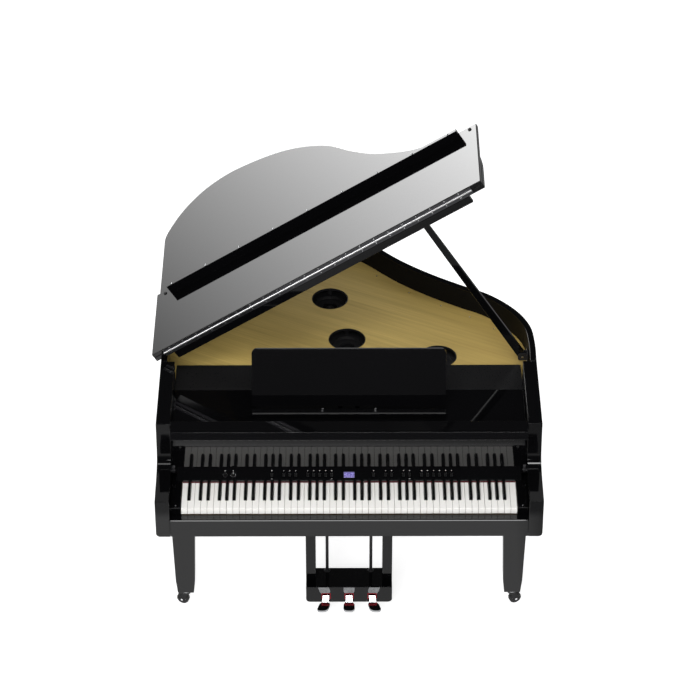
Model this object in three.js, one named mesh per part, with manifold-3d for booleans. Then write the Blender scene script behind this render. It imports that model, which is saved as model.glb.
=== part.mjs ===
import * as THREE from 'three';
import { mergeVertices } from 'three/addons/utils/BufferGeometryUtils.js';
import Module from 'manifold-3d';

// A digital grand piano in millimetres: +X to the player's right, +Y towards the tail, +Z up.
// Everything is laid out from the front edge of the white keys, on the floor, at the middle of the keyboard.

const wasm = await Module();
wasm.setup();

// Clearances and cutting
const fit = 0.3;
const slide = 0.4;
const runningGap = 2;
const overrun = 6;
const degree = Math.PI / 180;

// Case: the heights follow the lid's axis, the widths follow the case
const lidAxisHeight = 989;
const lidSeat = 1;
const rimTop = lidAxisHeight - lidSeat;
const caseHeight = 348;
const caseBottom = rimTop - caseHeight;
const caseHalfWidth = 703;
const armThickness = 52;
const armInner = caseHalfWidth - armThickness;
const rimThickness = 24;
const armEnd = 569;
const tailDepth = 1613;
const tailRun = tailDepth - armEnd;

// Keyboard: the keys fill what the arms and cheeks leave
const cheekWidth = 38;
const cheekGap = 2;
const whiteCount = 52;
const keyboardHalf = armInner - cheekWidth - cheekGap;
const whitePitch = (2 * keyboardHalf) / whiteCount;
const lettersPerOctave = 7;
const octaveCount = 7;
const keysBelowCCount = 2;
const keyGap = 1;
const keyRise = 100;
const keyTop = caseBottom + keyRise;
const whiteHeight = 24;
const keyLength = 215;
const keyHidden = 65;
const whiteShown = keyLength - keyHidden;
const keyBarDepth = 30;
const blackSetback = 50;
const blackWidth = 10;
const blackRise = 12;
const blackSlope = 7;
const blackFrontDrop = 10;
const blackStemDepth = 17;
const blackStemDrop = 19;
const blackBarThickness = 12;
const notchSide = 1.5;
const notchFront = 2.5;
const blackCentreShares = [0.9, 2.1, 3.87, 5, 6.13];
const whiteGroupShares = [0, 9, 16, 23, 30, 37, 44, 52];

// Arms and rim
const armFront = 40;
const armFrontHeight = 163;
const armFrontTop = caseBottom + armFrontHeight;
const armRise = 27;
const armRiseStart = 112;
const armCurveFoot = 150;
const rimTopStart = 179;
const armCorner = 16;
const armFootSteps = 8;
const armTopCorner = 9;
const armEdge = 2;
const armCurveShares = [[0, 0], [0.55, 0.1], [0.8, 0.3], [0.93, 0.62], [0.98, 0.88]];
const rimSplitShare = 0.47;
const rimSteps = 26;
const tailSteps = 24;
const bentsideShares = [
  [1, 0.0004], [1, 0.1162], [0.981, 0.2213], [0.91, 0.3217], [0.78, 0.4175], [0.617, 0.4855],
  [0.454, 0.5597], [0.289, 0.6508], [0.107, 0.7775], [-0.107, 0.8996], [-0.324, 0.9676], [-0.599, 1],
  [-0.825, 0.9506], [-0.96, 0.8486], [-1, 0.7389], [-1, 0.7003],
];
const floorThickness = 15;
const keybedThickness = 24;
const keybedRear = 420;

// Key slip, cheeks, frame and front board
const slipDrop = 26;
const slipTop = keyTop - slipDrop;
const slipFront = 38;
const slipGap = 5;
const slipEdge = 2;
const cheekFront = -1.2;
const frameFront = 10;
const frameThickness = 26;
const frameWall = 16;
const frameWallDrop = 4;
const frameWallTop = keyTop - frameWallDrop;
const frameWallGap = 0.5;
const frontBoardGap = 4.5;
const frontBoardFace = keyLength + frameWallGap + frameWall + frontBoardGap;
const frontBoardThickness = 12;
const boardClearance = 36;
const cheekRear = frontBoardFace - boardClearance;

// Control panel, bent from sheet at this slope
const panelSlope = 45;
const panelLift = 5;
const panelLipHeight = 7;
const panelLipBottom = keyTop + panelLift;
const panelLipTop = panelLipBottom + panelLipHeight;
const panelFace = 49;
const panelRear = cheekRear;
const panelSheet = 3.5;
const panelEndGap = 18;
const displayWidth = 38;
const displayHeight = 20;
const displayMiddle = 20;
const buttonPitch = 22;
const buttonWidth = 9;
const buttonHeight = 12;
const buttonProud = 1.4;
const buttonRadius = 2;
const padThickness = 1.5;
const padMargin = 3;
const buttonOffset = 2;
const buttonShares = [-13, -11, -10, -9, -7, -6, -5, -4, -3, 4, 6, 7, 9, 10, 12, 13, 14, 15, 16, 17];
const powerInset = 178;
const volumeSpacing = 30;
const powerPlace = powerInset + panelEndGap - armInner;
const volumePlace = powerPlace + volumeSpacing;
const powerRadius = 7.5;
const powerProud = 2;
const knobRadius = 8;
const knobHeight = 9;
const knobShaft = 3;
const knobShaftLength = 9;

// Key cover, open: a standing board with a lip that points to the player
const coverThickness = 16;
const coverFace = panelRear - coverThickness;
const coverHeight = 199.5;
const coverDrop = 1;
const coverTop = rimTop - coverDrop;
const coverBottom = coverTop - coverHeight;
const coverLipReach = 66;
const coverLipFront = coverFace - coverLipReach;
const coverLipThickness = 29;
const coverCorner = 3;
const coverNoseSlant = 13;
const coverFillet = 9;
const coverEdge = 1.2;
const coverPivotSet = 8;
const coverPivotY = coverFace - coverPivotSet;
const coverPivotDrop = 8.5;
const coverPivotZ = coverBottom - coverPivotDrop;
const coverPin = 3.5;
const coverLugRadius = 9;
const coverLugThickness = 10;

// Music shelf and rest
const shelfDrop = 78;
const shelfTop = rimTop - shelfDrop;
const shelfThickness = 12;
const shelfGap = 4;
const shelfFront = panelRear + shelfGap;
const shelfSplit = 495;
const shelfRear = 653;
const ledgeFront = 316;
const ledgeDepth = 41;
const ledgeThickness = 22;
const ledgeLip = 4;
const ledgeLipDepth = 10;
const restHalfWidth = 358;
const restHeight = 221;
const restThickness = 14;
const restFaceSet = 4;
const restLean = 20;
const restPivotY = 363;
const restPivotRise = 23;
const restPivotZ = shelfTop + restPivotRise;
const restCorner = 20;
const strutHeight = 100;
const strutOffset = 13.5;
const strutLength = 123.8;
const strutFall = 63.6;
const strutHalfWidth = 40;
const strutThickness = 5;
const strutPin = 2;
const earThickness = 6;
const earDepth = 7;
const earHeight = 12;

// Soundboard and speakers
const soundboardTop = shelfTop - shelfThickness;
const soundboardThickness = 8;
const speakerRadius = 69;
const speakerShares = [[-0.102418, 0.518199], [-0.008535, 0.255747], [0.483642, 0.14751]];
const speakerPlaces = speakerShares.map(
  ([across, back]) => [across * caseHalfWidth, armEnd + back * tailRun],
);
const baffleDrop = 36;
const baffleTop = soundboardTop - baffleDrop;
const baffleThickness = 12;
const baffleMargin = 34;
const coneDepth = 9;
const coneFloorShare = 0.4;
const bafflePostRadius = 10;
const bafflePostCount = 3;

// Lid, open on its prop
const lidOpen = 32.44;
const lidThickness = 19;
const frontLidThickness = 16;
const lidLeftOverhang = 18;
const lidRightOverhang = 8;
const foldPlace = 581;
const frontLidDepth = 396;
const lidEdge = 1.5;
const lidSteps = 46;
const lidShares = [
  [1, 0.1162], [0.98, 0.2321], [0.938, 0.2924], [0.889, 0.3542], [0.781, 0.4129], [0.674, 0.45],
  [0.582, 0.4778], [0.459, 0.5334], [0.333, 0.6029], [0.207, 0.6987], [0.077, 0.81], [-0.053, 0.8857],
  [-0.184, 0.9428], [-0.316, 0.9784], [-0.449, 1.0015], [-0.584, 1.0108], [-0.716, 0.9969],
  [-0.814, 0.9614], [-0.897, 0.9104], [-0.96, 0.847], [-0.996, 0.7914], [-1, 0.7343],
];
const battenHeight = 31;
const battenDepth = 16;
const battenInset = 60;
const skirtSetback = 49;
const skirtPlace = foldPlace + frontLidDepth - skirtSetback;
const skirtHeight = 37.7;
const skirtThickness = 16;
const skirtLeft = 54;
const skirtRightInset = 58;
const skirtRight = 2 * caseHalfWidth - skirtRightInset;
const rodRadius = 3.5;
const rodInset = 46;
const rodProud = 4.3;
const leafThickness = 1.5;
const leafRoot = 3.3;
const leafMargin = 2;
const sideHingeLength = 70;
const sideHingeDrop = 9;
const sideHingeLeaf = 2;
const sideHingeRadius = 3;
const sideHingeHeight = 42;
const sideHingeShares = [0.20663, 0.83609];

// Prop
const propInset = 47;
const propPivotX = caseHalfWidth - propInset;
const propPlaceShare = 0.104406;
const propPivotY = armEnd + propPlaceShare * tailRun;
const propPivotRise = 38;
const propPivotZ = soundboardTop + propPivotRise;
const propThickness = 14;
const propFootWidth = 33;
const propTipWidth = 22;
const propPin = 4;
const bracketWall = 4.5;
const bracketHalfLength = 23;
const bracketHalfHeight = 21;
const bracketBottom = propPivotZ - bracketHalfHeight;
const bracketTop = propPivotZ + bracketHalfHeight;
const bracketCheek = 5;
const bracketSeat = 0.6;
const cupLength = 54;
const cupWidth = 34;
const cupThickness = 4;

// Legs and casters
const legInset = 75;
const legX = caseHalfWidth - legInset;
const legFront = 306;
const legDepth = 76;
const legTopHalf = 51.5;
const legFootHalf = 31;
const legFootCurve = 60;
const legFootCurveOut = 4;
const legBottom = 78;
const legEdge = 3;
const casterY = 341;
const rearLegShares = [-0.355619, 0.748084];
const rearLegX = rearLegShares[0] * caseHalfWidth;
const rearLegY = armEnd + rearLegShares[1] * tailRun;
const casterTrail = 14;
const wheelRadius = 24;
const wheelWidth = 20;
const wheelCrown = 3;
const wheelSegments = 24;
const wheelBore = 3.4;
const axleRadius = 3;
const forkPlate = 3;
const forkGap = 1.5;
const forkCrownRadius = 17;
const forkCrownBottom = 52;
const forkEye = 9;
const swivelPlateRadius = 26;
const swivelPlateThickness = 4;
const casterTurns = { left: 70, right: -70, rear: 14 };

// Pedal lyre
const lyreHalfWidth = 165;
const lyreFront = 272;
const lyreDepth = 116;
const lyreBottom = 60;
const lyreTop = 135;
const lyreCorner = 15;
const postWidth = 38;
const postSetback = 41;
const postDepth = 52;
const braceRadius = 6;
const braceX = 84;
const braceY = 372;
const pedalSpacing = 88;
const pedalSplay = 5.5;
const pedalNeckHalf = 12;
const pedalToeHalf = 22;
const pedalToeTip = 201;
const pedalToeRear = 248;
const pedalNeckTop = 96;
const pedalToeTop = 81;
const pedalThickness = 9;
const pedalNeckGap = 4;
const pedalNeckRun = 17;
const pedalRear = 342;
const slotHalfWidth = 17;
const slotBottom = 75;
const slotTop = 105;
const slotDepth = 80;

// Round work
const roundSides = 24;
const smallSides = 12;
const cornerSteps = 4;

// Finishes
const finish = (color, roughness, metalness = 0) => new THREE.MeshStandardMaterial({ color, roughness, metalness });
const polishedBlack = () => finish(0x0b0b0d, 0.06);
const satinBlack = () => finish(0x232326, 0.45);
const ivoryWhite = () => finish(0xece9e2, 0.25);
const ebonyBlack = () => finish(0x111112, 0.35);
const spruce = () => finish(0xb39a5c, 0.5);
const brightMetal = () => finish(0xc9cbd0, 0.15, 1);
const darkPaper = () => finish(0x151517, 0.8);
const litGlass = () => finish(0x5a57c8, 0.1);
const plainWood = () => finish(0x6e6250, 0.7);

const piano = new THREE.Group();

function addMesh(parent, name, geometry, material) {
  const mesh = new THREE.Mesh(geometry, material);
  mesh.name = name;
  parent.add(mesh);
  return mesh;
}

// A three.js geometry as a solid that can be joined and cut, and back again
function solidOf(geometry) {
  const plain = geometry.clone();
  plain.deleteAttribute('normal');
  plain.deleteAttribute('uv');
  const merged = mergeVertices(plain);
  const vertProperties = new Float32Array(merged.attributes.position.array);
  const triVerts = new Uint32Array(merged.index.array);
  return new wasm.Manifold(new wasm.Mesh({ numProp: 3, vertProperties, triVerts }));
}

function geometryOf(solid) {
  const mesh = solid.getMesh();
  const geometry = new THREE.BufferGeometry();
  geometry.setAttribute('position', new THREE.BufferAttribute(new Float32Array(mesh.vertProperties), mesh.numProp));
  geometry.setIndex(new THREE.BufferAttribute(new Uint32Array(mesh.triVerts), 1));
  return geometry;
}

const join = (geometries) => geometryOf(geometries.map(solidOf).reduce((whole, piece) => whole.add(piece)));

function cut(geometry, cutters) {
  return geometryOf(cutters.map(solidOf).reduce((whole, piece) => whole.subtract(piece), solidOf(geometry)));
}

// Outline points [a, b, radius]: each corner with a radius becomes an arc
function rounded(corners) {
  const points = [];
  corners.forEach(([a, b, radius = 0], index) => {
    const here = new THREE.Vector2(a, b);
    if (!radius) {
      points.push(here);
      return;
    }
    const before = corners[(index + corners.length - 1) % corners.length];
    const after = corners[(index + 1) % corners.length];
    const back = new THREE.Vector2(before[0], before[1]).sub(here).normalize();
    const on = new THREE.Vector2(after[0], after[1]).sub(here).normalize();
    const half = Math.acos(THREE.MathUtils.clamp(back.dot(on), -1, 1)) / 2;
    const reach = radius / Math.tan(half);
    const middle = back.clone().add(on).normalize().multiplyScalar(radius / Math.sin(half)).add(here);
    const start = here.clone().addScaledVector(back, reach).sub(middle);
    const end = here.clone().addScaledVector(on, reach).sub(middle);
    const turn = Math.atan2(start.cross(end), start.dot(end));
    for (let step = 0; step <= cornerSteps; step += 1) {
      const spoke = start.clone().rotateAround(new THREE.Vector2(), (turn * step) / cornerSteps);
      points.push(spoke.add(middle));
    }
  });
  return points;
}

function extruded(outline, depth, edge = 0) {
  const shape = new THREE.Shape(outline);
  const settings = { depth: depth - 2 * edge, bevelEnabled: edge > 0, curveSegments: cornerSteps };
  if (edge > 0) {
    Object.assign(settings, { bevelThickness: edge, bevelSize: edge, bevelOffset: -edge, bevelSegments: 1 });
  }
  const geometry = new THREE.ExtrudeGeometry(shape, settings);
  return geometry.translate(0, 0, edge);
}

// Outline in plan, raised from bottom to top
const plate = (outline, bottom, top, edge) => extruded(outline, top - bottom, edge).translate(0, 0, bottom);

// Outline seen from the right side (depth, height), run from left to right
function profile(outline, left, right, edge) {
  const turn = new THREE.Matrix4().set(0, 0, 1, left, 1, 0, 0, 0, 0, 1, 0, 0, 0, 0, 0, 1);
  return extruded(outline, right - left, edge).applyMatrix4(turn);
}

// Outline seen from the front (width, height), run from front to rear
function elevation(outline, front, rear, edge) {
  const turn = new THREE.Matrix4().set(1, 0, 0, 0, 0, 0, -1, rear, 0, 1, 0, 0, 0, 0, 0, 1);
  return extruded(outline, rear - front, edge).applyMatrix4(turn);
}

function block(left, right, front, rear, bottom, top) {
  const box = new THREE.BoxGeometry(right - left, rear - front, top - bottom);
  return box.translate((left + right) / 2, (front + rear) / 2, (bottom + top) / 2);
}

function rectangle(left, right, front, rear, radius = 0) {
  return rounded([[left, front, radius], [right, front, radius], [right, rear, radius], [left, rear, radius]]);
}

const rod = (radius, length, sides = smallSides) => new THREE.CylinderGeometry(radius, radius, length, sides);
const uprightRod = (radius, bottom, top, sides) =>
  rod(radius, top - bottom, sides).rotateX(Math.PI / 2).translate(0, 0, (bottom + top) / 2);
const crossRod = (radius, left, right, sides) =>
  rod(radius, right - left, sides).rotateZ(Math.PI / 2).translate((left + right) / 2, 0, 0);

const keyboardLeft = -keyboardHalf;

// Keys: each octave is one comb of white keys and one of black keys, joined behind the panel
function blackCentres(octave) {
  const start = keysBelowCCount + octave * lettersPerOctave;
  return blackCentreShares.map((share) => (start + share) * whitePitch + keyboardLeft);
}

const allBlacks = [];
for (let octave = -1; octave < octaveCount; octave += 1) {
  allBlacks.push(...blackCentres(octave).filter((centre) => centre > keyboardLeft));
}

function whiteKeyOutline(index) {
  const left = keyboardLeft + index * whitePitch;
  const right = left + whitePitch;
  const near = (edge) => allBlacks.find((centre) => Math.abs(centre - edge) < whitePitch / 3);
  const notch = blackWidth / 2 + notchSide;
  const frontLeft = left + keyGap / 2;
  const frontRight = right - keyGap / 2;
  const blackLeft = near(left);
  const blackRight = near(right);
  const notchStart = blackSetback - notchFront;
  const outline = [[frontLeft, 0], [frontRight, 0]];
  if (blackRight === undefined) {
    outline.push([frontRight, keyLength]);
  } else {
    outline.push([frontRight, notchStart], [blackRight - notch, notchStart], [blackRight - notch, keyLength]);
  }
  if (blackLeft === undefined) {
    outline.push([frontLeft, keyLength]);
  } else {
    outline.push([blackLeft + notch, keyLength], [blackLeft + notch, notchStart], [frontLeft, notchStart]);
  }
  return rounded(outline);
}

function whiteComb(first, last) {
  const bottom = keyTop - whiteHeight;
  const keys = [];
  for (let index = first; index < last; index += 1) {
    keys.push(plate(whiteKeyOutline(index), bottom, keyTop));
  }
  const barLeft = keyboardLeft + first * whitePitch + keyGap;
  const barRight = keyboardLeft + last * whitePitch - keyGap;
  keys.push(block(barLeft, barRight, keyLength - keyBarDepth, keyLength, bottom, keyTop));
  return join(keys);
}

const blackBarTop = keyTop - whiteHeight - blackStemDrop + blackBarThickness;
const blackBarBottom = keyTop - whiteHeight - blackStemDrop;

function blackComb(centres) {
  const top = keyTop + blackRise;
  const bottom = keyTop - whiteHeight;
  const rear = whiteShown - runningGap;
  const side = rounded([
    [blackSetback, bottom], [rear - blackStemDepth, bottom], [rear - blackStemDepth, blackBarBottom],
    [rear, blackBarBottom], [rear, top], [blackSetback + blackSlope, top], [blackSetback, top - blackFrontDrop],
  ]);
  const keys = centres.map((centre) => profile(side, centre - blackWidth / 2, centre + blackWidth / 2));
  const barLeft = centres[0] - blackWidth;
  const barRight = centres[centres.length - 1] + blackWidth;
  keys.push(block(barLeft, barRight, rear - blackStemDepth, keyLength, blackBarBottom, blackBarTop));
  return join(keys);
}

function addKeys() {
  for (let octave = 0; octave < octaveCount; octave += 1) {
    const whites = whiteComb(whiteGroupShares[octave], whiteGroupShares[octave + 1]);
    addMesh(piano, `white_keys_${octave + 1}`, whites, ivoryWhite());
    const lowest = octave === 0 ? blackCentres(-1).filter((centre) => centre > keyboardLeft) : [];
    addMesh(piano, `black_keys_${octave + 1}`, blackComb([...lowest, ...blackCentres(octave)]), ebonyBlack());
  }
  const frameBottom = caseBottom + keybedThickness + fit;
  const wallFront = keyLength + frameWallGap;
  const frame = profile(rounded([
    [frameFront, frameBottom], [wallFront + frameWall, frameBottom], [wallFront + frameWall, frameWallTop],
    [wallFront, frameWallTop], [wallFront, frameBottom + frameThickness],
    [frameFront, frameBottom + frameThickness],
  ]), keyboardLeft, -keyboardLeft);
  addMesh(piano, 'key_frame', frame, plainWood());
}

// Case walls
function armOutline() {
  const rise = rimTop - armFrontTop - armRise;
  const run = rimTopStart - armCurveFoot;
  const foot = armFrontTop + armRise;
  const curve = armCurveShares.map(([along, up]) => [armCurveFoot + along * run, foot + up * rise]);
  return rounded([
    [-armFront, caseBottom], [armEnd, caseBottom], [armEnd, rimTop],
    [rimTopStart, rimTop, armTopCorner], ...curve.reverse(),
    [armRiseStart, armFrontTop + armRise / 2], [-armFront, armFrontTop, armTopCorner],
  ]);
}

// What comes off the outer bottom edge of an arm, so that the edge is a soft quarter round
function footCove(side) {
  const corner = side * caseHalfWidth;
  const steps = [];
  for (let step = 0; step <= armFootSteps; step += 1) {
    const angle = ((step / armFootSteps) * Math.PI) / 2;
    const inward = armCorner * (1 - Math.sin(angle));
    steps.push([corner - side * inward, caseBottom + armCorner * (1 - Math.cos(angle))]);
  }
  const outside = corner + side * overrun;
  const outline = [
    ...steps, [outside, caseBottom + armCorner], [outside, caseBottom - overrun],
    [corner - side * armCorner, caseBottom - overrun],
  ];
  return elevation(rounded(outline), -armFront - overrun, armEnd + overrun);
}

function addArms() {
  for (const [name, side] of [['left_arm', -1], ['right_arm', 1]]) {
    const outer = side * caseHalfWidth;
    const inner = side * armInner;
    const blank = profile(armOutline(), Math.min(outer, inner), Math.max(outer, inner), armEdge);
    const wall = cut(blank, [footCove(side)]);
    const pinEnd = side * (armInner - coverLugThickness - runningGap);
    const pinStart = side * (armInner + overrun);
    const pin = crossRod(coverPin, Math.min(pinEnd, pinStart), Math.max(pinEnd, pinStart));
    addMesh(piano, name, join([wall, pin.translate(0, coverPivotY, coverPivotZ)]), polishedBlack());
  }
}

const rimCurve = new THREE.SplineCurve(
  bentsideShares.map(([across, back]) => new THREE.Vector2(across * caseHalfWidth, armEnd + back * tailRun)),
);
const rimJoint = fit / rimCurve.getLength();

function rimPoints(from, to, steps, inset) {
  const points = [];
  for (let step = 0; step <= steps; step += 1) {
    const share = from + ((to - from) * step) / steps;
    const tangent = rimCurve.getTangentAt(share);
    const point = rimCurve.getPointAt(share);
    points.push(new THREE.Vector2(point.x - tangent.y * inset, point.y + tangent.x * inset));
  }
  return points;
}

function rimWall(from, to, steps) {
  const outer = rimPoints(from, to, steps, 0);
  const inner = rimPoints(from, to, steps, rimThickness).reverse();
  return plate([...outer, ...inner], caseBottom, rimTop, armEdge);
}

const insideRim = (inset) => [
  ...rimPoints(0, rimSplitShare, rimSteps, rimThickness + inset),
  ...rimPoints(rimSplitShare + rimJoint, 1, tailSteps, rimThickness + inset).slice(1),
].filter((point) => point.y > armEnd + runningGap + inset);

// Plan of what lies inside the rim, from the arms to the tail
function insideOutline(inset) {
  const side = caseHalfWidth - rimThickness - inset;
  const front = armEnd + runningGap;
  return [new THREE.Vector2(side, front), ...insideRim(inset), new THREE.Vector2(-side, front)];
}

function addRim() {
  addMesh(piano, 'bentside', rimWall(0, rimSplitShare, rimSteps), polishedBlack());
  addMesh(piano, 'tail', rimWall(rimSplitShare + rimJoint, 1, tailSteps), polishedBlack());
  const spineInner = caseHalfWidth - rimThickness;
  const spineRear = rimCurve.getPointAt(1).y - fit;
  const spine = plate(
    rectangle(-caseHalfWidth, -spineInner, armEnd + fit, spineRear), caseBottom, rimTop, armEdge,
  );
  const hinges = sideHingeShares.flatMap((share) => {
    const place = armEnd + share * (spineRear - armEnd);
    const top = lidAxisHeight - sideHingeDrop;
    const outer = -caseHalfWidth - sideHingeLeaf;
    const leaf = block(
      outer, -caseHalfWidth + fit, place - sideHingeLength / 2, place + sideHingeLength / 2,
      top - sideHingeHeight, top,
    );
    const knuckle = rod(sideHingeRadius, sideHingeLength).translate(outer - fit, place, top);
    return [leaf, knuckle];
  });
  addMesh(piano, 'spine', join([spine, ...hinges]), polishedBlack());
}

function addBoards() {
  const keybed = block(
    -armInner + fit, armInner - fit, -slipGap + fit, keybedRear, caseBottom, caseBottom + keybedThickness,
  );
  addMesh(piano, 'keybed', keybed, satinBlack());
  const floorFront = keybedRear + fit;
  const innerSide = armInner - fit;
  const rimSide = caseHalfWidth - rimThickness - slide;
  const floor = plate([
    new THREE.Vector2(innerSide, floorFront), new THREE.Vector2(innerSide, armEnd + slide),
    new THREE.Vector2(rimSide, armEnd + slide), ...insideRim(slide),
    new THREE.Vector2(-rimSide, armEnd + slide), new THREE.Vector2(-innerSide, armEnd + slide),
    new THREE.Vector2(-innerSide, floorFront),
  ], caseBottom, caseBottom + floorThickness);
  addMesh(piano, 'case_floor', floor, satinBlack());
  const slip = profile(
    rectangle(-slipFront, -slipGap, caseBottom, slipTop), -armInner + fit, armInner - fit, slipEdge,
  );
  addMesh(piano, 'key_slip', slip, polishedBlack());
  const boardBottom = caseBottom + keybedThickness + fit;
  const boardTop = shelfTop - shelfThickness - fit;
  const frontBoard = block(
    -armInner + fit, armInner - fit, frontBoardFace, frontBoardFace + frontBoardThickness,
    boardBottom, boardTop,
  );
  addMesh(piano, 'front_board', frontBoard, satinBlack());
  for (const [name, side] of [['left_cheek', -1], ['right_cheek', 1]]) {
    const inner = side * (-keyboardLeft + cheekGap);
    const outer = side * (armInner - fit);
    const cheek = plate(
      rectangle(Math.min(inner, outer), Math.max(inner, outer), cheekFront, cheekRear),
      boardBottom, panelLipBottom - fit, slipEdge / 2,
    );
    addMesh(piano, name, cheek, polishedBlack());
  }
}

// Control panel: a folded sheet, with its controls laid out on the sloping face
const panelFront = whiteShown + keyGap / 2;
const panelTurn = new THREE.Matrix4().makeTranslation(0, panelFront, panelLipTop)
  .multiply(new THREE.Matrix4().makeRotationX(panelSlope * degree));
const panelHalf = armInner - panelEndGap;
const onPanel = (geometry) => geometry.applyMatrix4(panelTurn);
const buttonPlaces = buttonShares.map((share) => share * buttonPitch + buttonOffset);

function panelBox(middle, width, height, bottom, top, clearance = 0) {
  const halfWidth = width / 2 + clearance;
  const halfHeight = height / 2 + clearance;
  const low = displayMiddle - halfHeight;
  const high = displayMiddle + halfHeight;
  const corner = clearance ? 0 : buttonRadius / 2;
  return plate(rectangle(middle - halfWidth, middle + halfWidth, low, high, corner), bottom, top);
}

function addPanel() {
  const rise = panelFace * Math.sin(panelSlope * degree);
  const run = panelFace * Math.cos(panelSlope * degree);
  const top = panelLipTop + rise;
  const bend = panelSheet * Math.tan((panelSlope * degree) / 2);
  const sheet = profile(rounded([
    [panelFront, panelLipBottom], [panelFront + panelSheet, panelLipBottom],
    [panelFront + panelSheet, panelLipTop - bend], [panelFront + run + bend, top - panelSheet],
    [panelRear, top - panelSheet], [panelRear, top], [panelFront + run, top], [panelFront, panelLipTop],
  ]), -panelHalf, panelHalf);
  const deep = -panelSheet - overrun;
  const holes = buttonPlaces.map((x) => panelBox(x, buttonWidth, buttonHeight, deep, overrun, slide));
  holes.push(panelBox(0, displayWidth, displayHeight, deep, overrun, slide));
  const powerHole = uprightRod(powerRadius + slide, deep, overrun, roundSides);
  const shaftHole = uprightRod(knobShaft + slide, deep, overrun, smallSides);
  holes.push(powerHole.translate(powerPlace, displayMiddle, 0));
  holes.push(shaftHole.translate(volumePlace, displayMiddle, 0));
  addMesh(piano, 'control_panel', cut(sheet, holes.map(onPanel)), polishedBlack());
  const screen = panelBox(0, displayWidth, displayHeight, -panelSheet + fit, 0);
  addMesh(piano, 'display', onPanel(screen), litGlass());
  const padTop = -panelSheet - fit;
  const padLeft = buttonPlaces[0] - buttonWidth / 2 - padMargin;
  const padRight = buttonPlaces[buttonPlaces.length - 1] + buttonWidth / 2 + padMargin;
  const padLow = displayMiddle - buttonHeight / 2;
  const padHigh = displayMiddle + buttonHeight / 2;
  const pad = [plate(rectangle(padLeft, padRight, padLow, padHigh), padTop - padThickness, padTop)];
  const padMiddle = padTop - padThickness / 2;
  buttonPlaces.forEach((x) => pad.push(panelBox(x, buttonWidth, buttonHeight, padMiddle, buttonProud)));
  addMesh(piano, 'button_pad', onPanel(join(pad)), satinBlack());
  const power = uprightRod(powerRadius, -panelSheet, powerProud, roundSides);
  addMesh(piano, 'power_button', onPanel(power.translate(powerPlace, displayMiddle, 0)), satinBlack());
  const knob = join([
    uprightRod(knobRadius, slide, knobHeight, roundSides),
    uprightRod(knobShaft, slide - knobShaftLength, slide + fit, smallSides),
  ]).translate(volumePlace, displayMiddle, 0);
  addMesh(piano, 'volume_knob', onPanel(knob), satinBlack());
}

// Key cover with its two pivot lugs
function addKeyCover() {
  const half = armInner - runningGap;
  const board = profile(rounded([
    [coverFace, coverBottom, coverEdge], [coverFace + coverThickness, coverBottom, coverEdge],
    [coverFace + coverThickness, coverTop, coverEdge],
    [coverLipFront + coverNoseSlant, coverTop, coverCorner],
    [coverLipFront, coverTop - coverLipThickness, coverCorner],
    [coverFace, coverTop - coverLipThickness, coverFillet],
  ]), -half, half, coverEdge / 2);
  const pieces = [board];
  const cutters = [];
  for (const side of [-1, 1]) {
    const outer = side * half;
    const inner = side * (half - coverLugThickness);
    const left = Math.min(outer, inner);
    const right = Math.max(outer, inner);
    const eye = crossRod(coverLugRadius, left, right, roundSides).translate(0, coverPivotY, coverPivotZ);
    const arm = profile(rounded([
      [coverPivotY, coverPivotZ - coverLugRadius / 2], [coverFace + coverThickness - coverEdge, coverBottom],
      [coverFace + coverThickness - coverEdge, coverBottom + coverLugRadius],
      [coverFace, coverBottom + coverLugRadius], [coverPivotY, coverPivotZ + coverLugRadius - fit],
    ]), left, right);
    pieces.push(eye, arm);
    const bore = crossRod(coverPin + slide, left - overrun, right + overrun);
    cutters.push(bore.translate(0, coverPivotY, coverPivotZ));
  }
  addMesh(piano, 'key_cover', cut(join(pieces), cutters), polishedBlack());
}

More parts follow.
